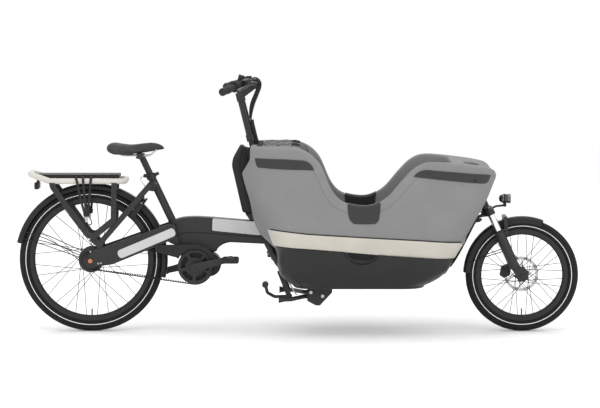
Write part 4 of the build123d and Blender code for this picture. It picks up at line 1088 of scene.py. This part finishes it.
RACK_TOP = 722
for number, x in enumerate((-1006, -975, -938)):
    x_hook = -967 + 7 * number
    for sign in (1, -1):
        route = [(x, sign * 61.5, 714), (x, sign * 74, RACK_TOP - 7), (x, sign * 85, 709),
                 (x + (x_hook - x) * 0.12, sign * 93, 690), (x + (x_hook - x) * 0.55, sign * 92.5, 610),
                 (x_hook, sign * 91, 545)]
        strap = piece(f"rack_band_{number}_{'l' if sign > 0 else 'r'}", *ribbon(route, 11, 2.6, (1, 0, 0)),
                      SOFT_RUBBER, "frame", "strap_web", 60)
        if number == 0 and sign == 1:
            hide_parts("rack_straps")
for sign in (1, -1):
    low, high = sorted((sign * 88, sign * 95))
    tag = "l" if sign > 0 else "r"
    extra_bevel(f"band_yoke_{tag}", prism([(-975, 552), (-943, 552), (-946, 532), (-972, 532)], low, high),
                BLACK_PLASTIC, "frame", 2, "black_plastic")
    extra_bevel(f"band_link_{tag}", prism([(-966, 533), (-952, 533), (-954, 508), (-965, 508)], low + 1,
                                          high - 1),
                STEEL, "frame", 1, "steel")
    hook = [(-959, sign * 91, 510), (-953, sign * 91, 500), (-950, sign * 91, 488), (-955, sign * 91, 478),
            (-963, sign * 91, 482)]
    piece(f"band_hook_{tag}", *tube(smooth_line(hook, 5), 2.2, 10), BLACK_PLASTIC, "frame", "black_plastic")

# ---------------------------------------------------------------- saddle
SADDLE_TOP = [(-873, 842), (-868, 853), (-858, 860), (-837, 864), (-800, 857), (-764, 852), (-720, 857),
              (-666, 864), (-640, 860), (-620, 852), (-609, 842)]
SADDLE_HALF = [(-873, 6), (-868, 44), (-858, 66), (-837, 88), (-815, 91), (-790, 82), (-764, 64), (-740, 48),
               (-700, 30), (-666, 23), (-640, 20), (-620, 15), (-609, 4)]
SADDLE_SKIRT = [(-873, 834), (-858, 824), (-836, 816), (-790, 815), (-740, 822), (-690, 828), (-640, 836),
                (-609, 838)]


def saddle_form():
    """A crowned shell over a padded rear, its skirt turned under."""
    stations = [-873 + (264 * k / 44) for k in range(45)]
    rows = []
    for x in stations:
        half = on_line(SADDLE_HALF, x)
        top, skirt = on_line(SADDLE_TOP, x), on_line(SADDLE_SKIRT, x)
        groove = 5.0 * max(0, 1 - ((x + 790) / 75) ** 2)
        row = []
        for k in range(29):
            lean = -pi / 2 + pi * k / 28
            y = half * sin(lean)
            flat = abs(sin(lean))
            z = skirt + (top - skirt) * max(0.0, 1 - flat ** 3.2) ** 0.5
            z -= groove * math.exp(-(y / 11) ** 2)
            row.append(Vector((x, y, z)))
        for k in range(1, 12):
            t = 1 - 2 * k / 12
            row.append(Vector((x, half * 0.93 * t, skirt - 2 - 3 * (1 - t * t))))
        rows.append(row)
    return capped(rows)


saddle = piece("saddle_pad", *saddle_form(), SADDLE, "seat", "saddle_skin", 180)
settle(saddle, 1.2, 3, 12, 5)
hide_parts("saddle")
RAIL = [(-818, 46, 822), (-806, 38, 812), (-786, 24, 806), (-735, 24, 806), (-680, 24, 806), (-656, 17, 822),
        (-640, 10, 838)]
rails = [tube(smooth_line([(x, side * y, z) for x, y, z in RAIL], 6), 3.5, 12) for side in (1, -1)]
piece("saddle_rails", *joined(*rails), STEEL, "seat", "saddle_skin")
extra_bevel("saddle_clamp_top", block((-736, -33, 808), (-700, 33, 815)), FRAME_BLACK, "seat", 3,
            "frame_black")
extra_bevel("saddle_clamp_foot", block((-738, -33, 792), (-698, 33, 801)), FRAME_BLACK, "seat", 3,
            "frame_black")

# ---------------------------------------------------------------- battery, column fittings and cables


def rounded(outline, radius, steps=5):
    """An outline with its corners rounded."""
    made = []
    count = len(outline)
    for i in range(count):
        before, corner, after = (Vector((*outline[(i + k) % count], 0)) for k in (-1, 0, 1))
        reach = min(radius, (before - corner).length * 0.45, (after - corner).length * 0.45)
        start = corner + (before - corner).normalized() * reach
        stop = corner + (after - corner).normalized() * reach
        for k in range(steps + 1):
            t = k / steps
            spot = start * (1 - t) ** 2 + corner * 2 * t * (1 - t) + stop * t ** 2
            made.append((spot.x, spot.y))
    return made


CASE = [(-262, 856), (-243, 851), (-163, 546), (-236, 543), (-253, 549), (-301.5, 762), (-296, 796)]
CASE_FACE = [(-255, 847), (-240, 845), (-170, 552), (-226, 549), (-232, 553), (-279, 761), (-274, 793)]
case_rows = [[Vector((x, y, z)) for x, z in rounded(line, 14)]
             for y, line in ((-46, CASE_FACE), (-30, CASE), (30, CASE), (46, CASE_FACE))]
case = piece("battery_case", *capped(case_rows), DARK_PLASTIC, "frame", "dark_plastic", 30, [bevel(2.5, 3)])
bake(case)
SEAM_LINE = [(-250, 842), (-262, 800), (-266, 760), (-214, 552), (-211.6, 552.6), (-263.4, 760),
             (-259.6, 799), (-247.6, 841)]
cut(case, prism(SEAM_LINE, -50, -44.6), prism(SEAM_LINE, 44.6, 50))
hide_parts("battery")
LATCH = [(-247, 845), (-221, 839), (-213, 800), (-226, 764), (-243, 764), (-240, 800)]
for sign in (1, -1):
    low, high = sorted((sign * 26, sign * 45))
    extra_bevel(f"battery_latch_{sign + 1}", prism(rounded(LATCH, 8), low, high), BLACK_PLASTIC, "frame", 3,
                "dark_plastic")

hoses = []
for sign, low, start_y, fan in ((1, 5, 132, 2), (1, 12, 142, -9), (-1, 5, 132, -3), (-1, 12, 142, 7)):
    y = sign * low
    route = [(-214, sign * start_y, 1150), (-196, sign * (start_y - 30), 1156),
             (-178 + fan, sign * (start_y - 62), 1146),
             (-176 + fan, sign * (low + 34), 1120), (-188 + fan, sign * (low + 18), 1086),
             (-206 + fan, sign * (low + 8), 1040), (-215 + fan * 0.5, y, 990), (-211, y, 960), (-194, y, 900),
             (-180, y, 862), (-172, y, 836)]
    hoses.append(tube(smooth_line(route, 6), 3.4, 10))
cables = piece("cable_run", *joined(*hoses), BLACK_PLASTIC, "steering", "black_plastic", 60)
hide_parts("control_cables")
sleeve = [(-212, 0, 966), (-209, 0, 950), (-197, 0, 900), (-187, 0, 862), (-180, 0, 838)]
piece("cable_sleeve", *tube(smooth_line(sleeve, 6), 10.5, 24), SOFT_RUBBER, "steering", "black_plastic", 60)
piece("cable_clip", *lathe([(3, 0), (13, 0), (13, 9), (3, 9)], (-212, 0, 958), (-0.24, 0, 0.97), 24),
      BLACK_PLASTIC, "steering", "black_plastic")

# shaped grips
for sign, start, stop in ((1, 8, 142), (-1, 38, 142)):
    root = Vector((-268, sign * 190, 1131))
    way = Vector((-63, sign * 110, -23)).normalized()
    length = stop - start
    swell = [(11.7, start), (15.5, start), (16.6, start + 3), (15.8, start + length * 0.14)]
    swell += [(16.2 + 1.9 * sin(pi * k / 8) ** 2, start + length * (0.2 + 0.62 * k / 8)) for k in range(9)]
    swell += [(17.6, stop - 12), (18.0, stop - 6), (16.6, stop - 1), (12, stop + 0.8), (0.01, stop + 1)]
    turned = lathe(swell, root, way, 40, False)
    held = piece(f"grip_body_{'l' if sign > 0 else 'r'}", *turned, SOFT_RUBBER, "steering", "soft_rubber", 50)
    if sign > 0:
        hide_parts("grips")

front_hose = [(862, -50, 533), (844, -56, 537), (824, -62, 532), (805, -68, 505), (777, -78, 452),
              (744, -86, 388), (716, -92, 340), (692, -92, 305)]
flexes = ("frame", "fork", Vector(front_hose[4]) * MM, Vector(front_hose[0]) * MM)
piece("front_hose", *tube(smooth_line(front_hose, 6), 4.4, 12), BLACK_PLASTIC, flexes, "black_plastic", 60)

spring = [(-45, -116, 242), (-6, -116, 178)]
piece("stand_spring", *tube([Vector(spring[0]).lerp(Vector(spring[1]), k / 10) for k in range(11)], 3.4, 14),
      STEEL,
      "frame", "steel")
# Painted shade: a thin near-black tube on each side of the beam stands for the shaded crease between the beam
# and its lower skirt.
crease = smooth_line([(-556, -35.4, 442), (-517, -35.6, 453), (-464, -35.6, 456), (-390, -35.6, 451),
                      (-306, -35.6, 444), (-222, -35.6, 438), (-150, -35.4, 432)], 6)
piece("beam_crease_painted_shade", *joined(tube(crease, 1.3, 8), tube([(p.x, -p.y, p.z) for p in crease], 1.3, 8)),
      BLACK_AND_PAINTED_SHADE, "frame",
      "frame_black")
extra_bevel("display_hood", prism([(-275, 1145), (-269, 1175), (-243, 1168), (-238, 1142)], -31, 31),
            BLACK_PLASTIC, "steering", 4, "black_plastic")
key_loop = [(-686, -22, 720), (-706, -22, 712), (-717, -22, 698), (-706, -22, 678), (-692, -22, 660)]
piece("key_loop", *tube(smooth_line(key_loop, 6), 1.8, 8), STEEL, "frame", "steel")
extra_bevel("key_block", block((-704, -30, 706), (-676, -14, 722)), BLACK_PLASTIC, "frame", 3, "dark_plastic")

# ---------------------------------------------------------------- small fittings


def bolt(name, centre, axis, radius, height, body, material=STEEL, slot="steel"):
    """A round-headed socket bolt."""
    outline = [(0.01, 0), (radius, 0), (radius, height * 0.6), (radius * 0.86, height),
               (radius * 0.5, height), (radius * 0.45, height * 0.35), (0.01, height * 0.35)]
    return piece(name, *lathe(outline, centre, axis, 20, False), material, body, slot)


bolt("stand_bolt_front", (112, -117, 173), (0, -1, 0), 8.5, 5, "frame")
bolt("stand_bolt_rear", (59, -117, 190), (0, -1, 0), 8.5, 5, "frame")
for number, (x, z) in enumerate(((-908, 318), (-896, 320), (-943, 372))):
    bolt(f"dropout_bolt_{number}", (x, -82, z), (0, -1, 0), 4.2, 3, "frame")
bolt("crank_bolt", (-469, -108, 301), (0, -1, 0), 11, 4, "cranks", HUB_BLACK, "frame_black")
bolt("seat_tube_bolt", (-548, -16, 470), (0.3, -1, 0.1), 4, 5, "frame")
TRIM_SCREWS = (("rear", -2, 317.5, 782, 0), ("front", 585, 316, 742, 0), ("nose", 790, 312.5, 712, 0.1))
for sign in (1, -1):
    for tag, x, y, z, ahead in TRIM_SCREWS:
        bolt(f"trim_screw_{tag}_{sign + 1}", (x, sign * y, z), (ahead, sign, 0.03), 4, 3.5, "frame",
             TRIM_DARK, "dark_plastic")

# fork stanchions
FORK_LEAN = radians(24.5)
FORK_UP = Vector((-sin(FORK_LEAN), 0, cos(FORK_LEAN)))
FORK_AHEAD = Vector((cos(FORK_LEAN), 0, sin(FORK_LEAN)))
fork_foot = Vector((905.4, 0, 446.8)) + FORK_AHEAD * 15
sleeves = [lathe([(14.9, 7), (15.08, 7), (15.08, 94.5), (14.9, 94.5)], fork_foot + Vector((0, s * 65, 0)),
                 FORK_UP, 40)
           for s in (1, -1)]
piece("stanchion_skins", *joined(*sleeves), CHROME, "fork", "steel")
seals = [lathe([(15.6, 5), (22.5, 5), (22.8, 7), (22.5, 13), (17.5, 15.5), (15.6, 15.5)],
               fork_foot + Vector((0, s * 65, 0)), FORK_UP, 40) for s in (1, -1)]
piece("fork_seals", *joined(*seals), SOFT_RUBBER, "fork_slider", "frame_black")

# belt teeth
teeth = []
rear_c, crank_c = Vector((-944, -56.5, 330)), Vector((-469, -56.5, 301))
span_line = crank_c - rear_c
lean = math.asin((79 - 38.5) / span_line.length)
base = math.atan2(span_line.z, span_line.x)
for side_sign in (1, -1):
    normal_turn = base + side_sign * (pi / 2 + lean)
    normal = Vector((cos(normal_turn), 0, sin(normal_turn)))
    start, stop = rear_c + normal * 38.9, crank_c + normal * 79.4
    ahead = (stop - start).normalized()
    count = int((stop - start).length / 11)
    for k in range(1, count):
        middle = start.lerp(stop, k / count)
        foot, tip = middle + normal * 0.3, middle - normal * 5
        corners = [foot - ahead * 3.4, tip - ahead * 2.2, tip + ahead * 2.2, foot + ahead * 3.4]
        outline = [(c.x, c.z) for c in corners]
        teeth.append(prism(outline, -61.5, -51.5))
piece("belt_teeth", *joined(*teeth), BELT, "frame", "belt_rubber")

# lamps
LAMP_Z = 608


def lamp_form(outline, closed=True):
    return lathe(outline, (0, 0, LAMP_Z), (1, 0, 0), 40, closed)


bowl = [(0.01, 918), (9, 919), (15, 924), (19, 932), (20.5, 936), (20.5, 940)]
piece("lamp_body", *lamp_form(bowl, False), LAMP_SILVER, "lamp", "lamp_silver")
lamp_belt = [(20, 939), (22, 939.5), (22, 946.5), (20, 947)]
piece("lamp_band", *lamp_form(lamp_belt), BLACK_PLASTIC, "lamp", "dark_plastic")
fins = [(20.8 if k % 2 else 19.4, 947 + 2.2 * (k // 2) + (0 if k % 2 else 0.4)) for k in range(12)]
head_end = [(21.4, 961), (21.8, 970), (20.6, 971.5), (19, 970), (18.5, 958), (12, 955)]
piece("lamp_head", *lamp_form([(18, 946)] + fins + head_end), LAMP_SILVER, "lamp", "lamp_silver")
lens = Nodes("lamp_lens")
LENS = lens.finish(lens.ramp(lens.cells(160), (0.75, 0.77, 0.8, 1), (0.95, 0.96, 0.97, 1)),
                   lens.scaled(lens.noise(60), 0.05, 0.12), lens.cells(160), 0.4, Transmission_Weight=0.55,
                   IOR=1.45)
glass = [(0.01, 965), (10, 964.5), (18.6, 962), (18.6, 960), (0.01, 961)]
piece("lamp_lens", *lamp_form(glass, False), LENS, "lamp", "lamp_silver")
LUG = [(938, 572), (952, 572), (952, 592), (938, 592)]
brackets = [prism(LUG, *sorted((s * 4.6, s * 9.2))) for s in (1, -1)]
lamp_foot = extra_bevel("lamp_foot", joined(*brackets), BLACK_PLASTIC, "lamp", 1.5, "dark_plastic")
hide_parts("headlight")

piece("tail_lens", *prism([(-1200.5, 656), (-1200.5, 681), (-1197.5, 683), (-1191, 683), (-1191, 654),
                           (-1197.5, 654)], -40, 40),
      LENS_RED, "frame", "lamp_red", modifiers=[bevel(1.5)])
cad_nodes["tail_light"].data.materials[0] = BLACK_PLASTIC
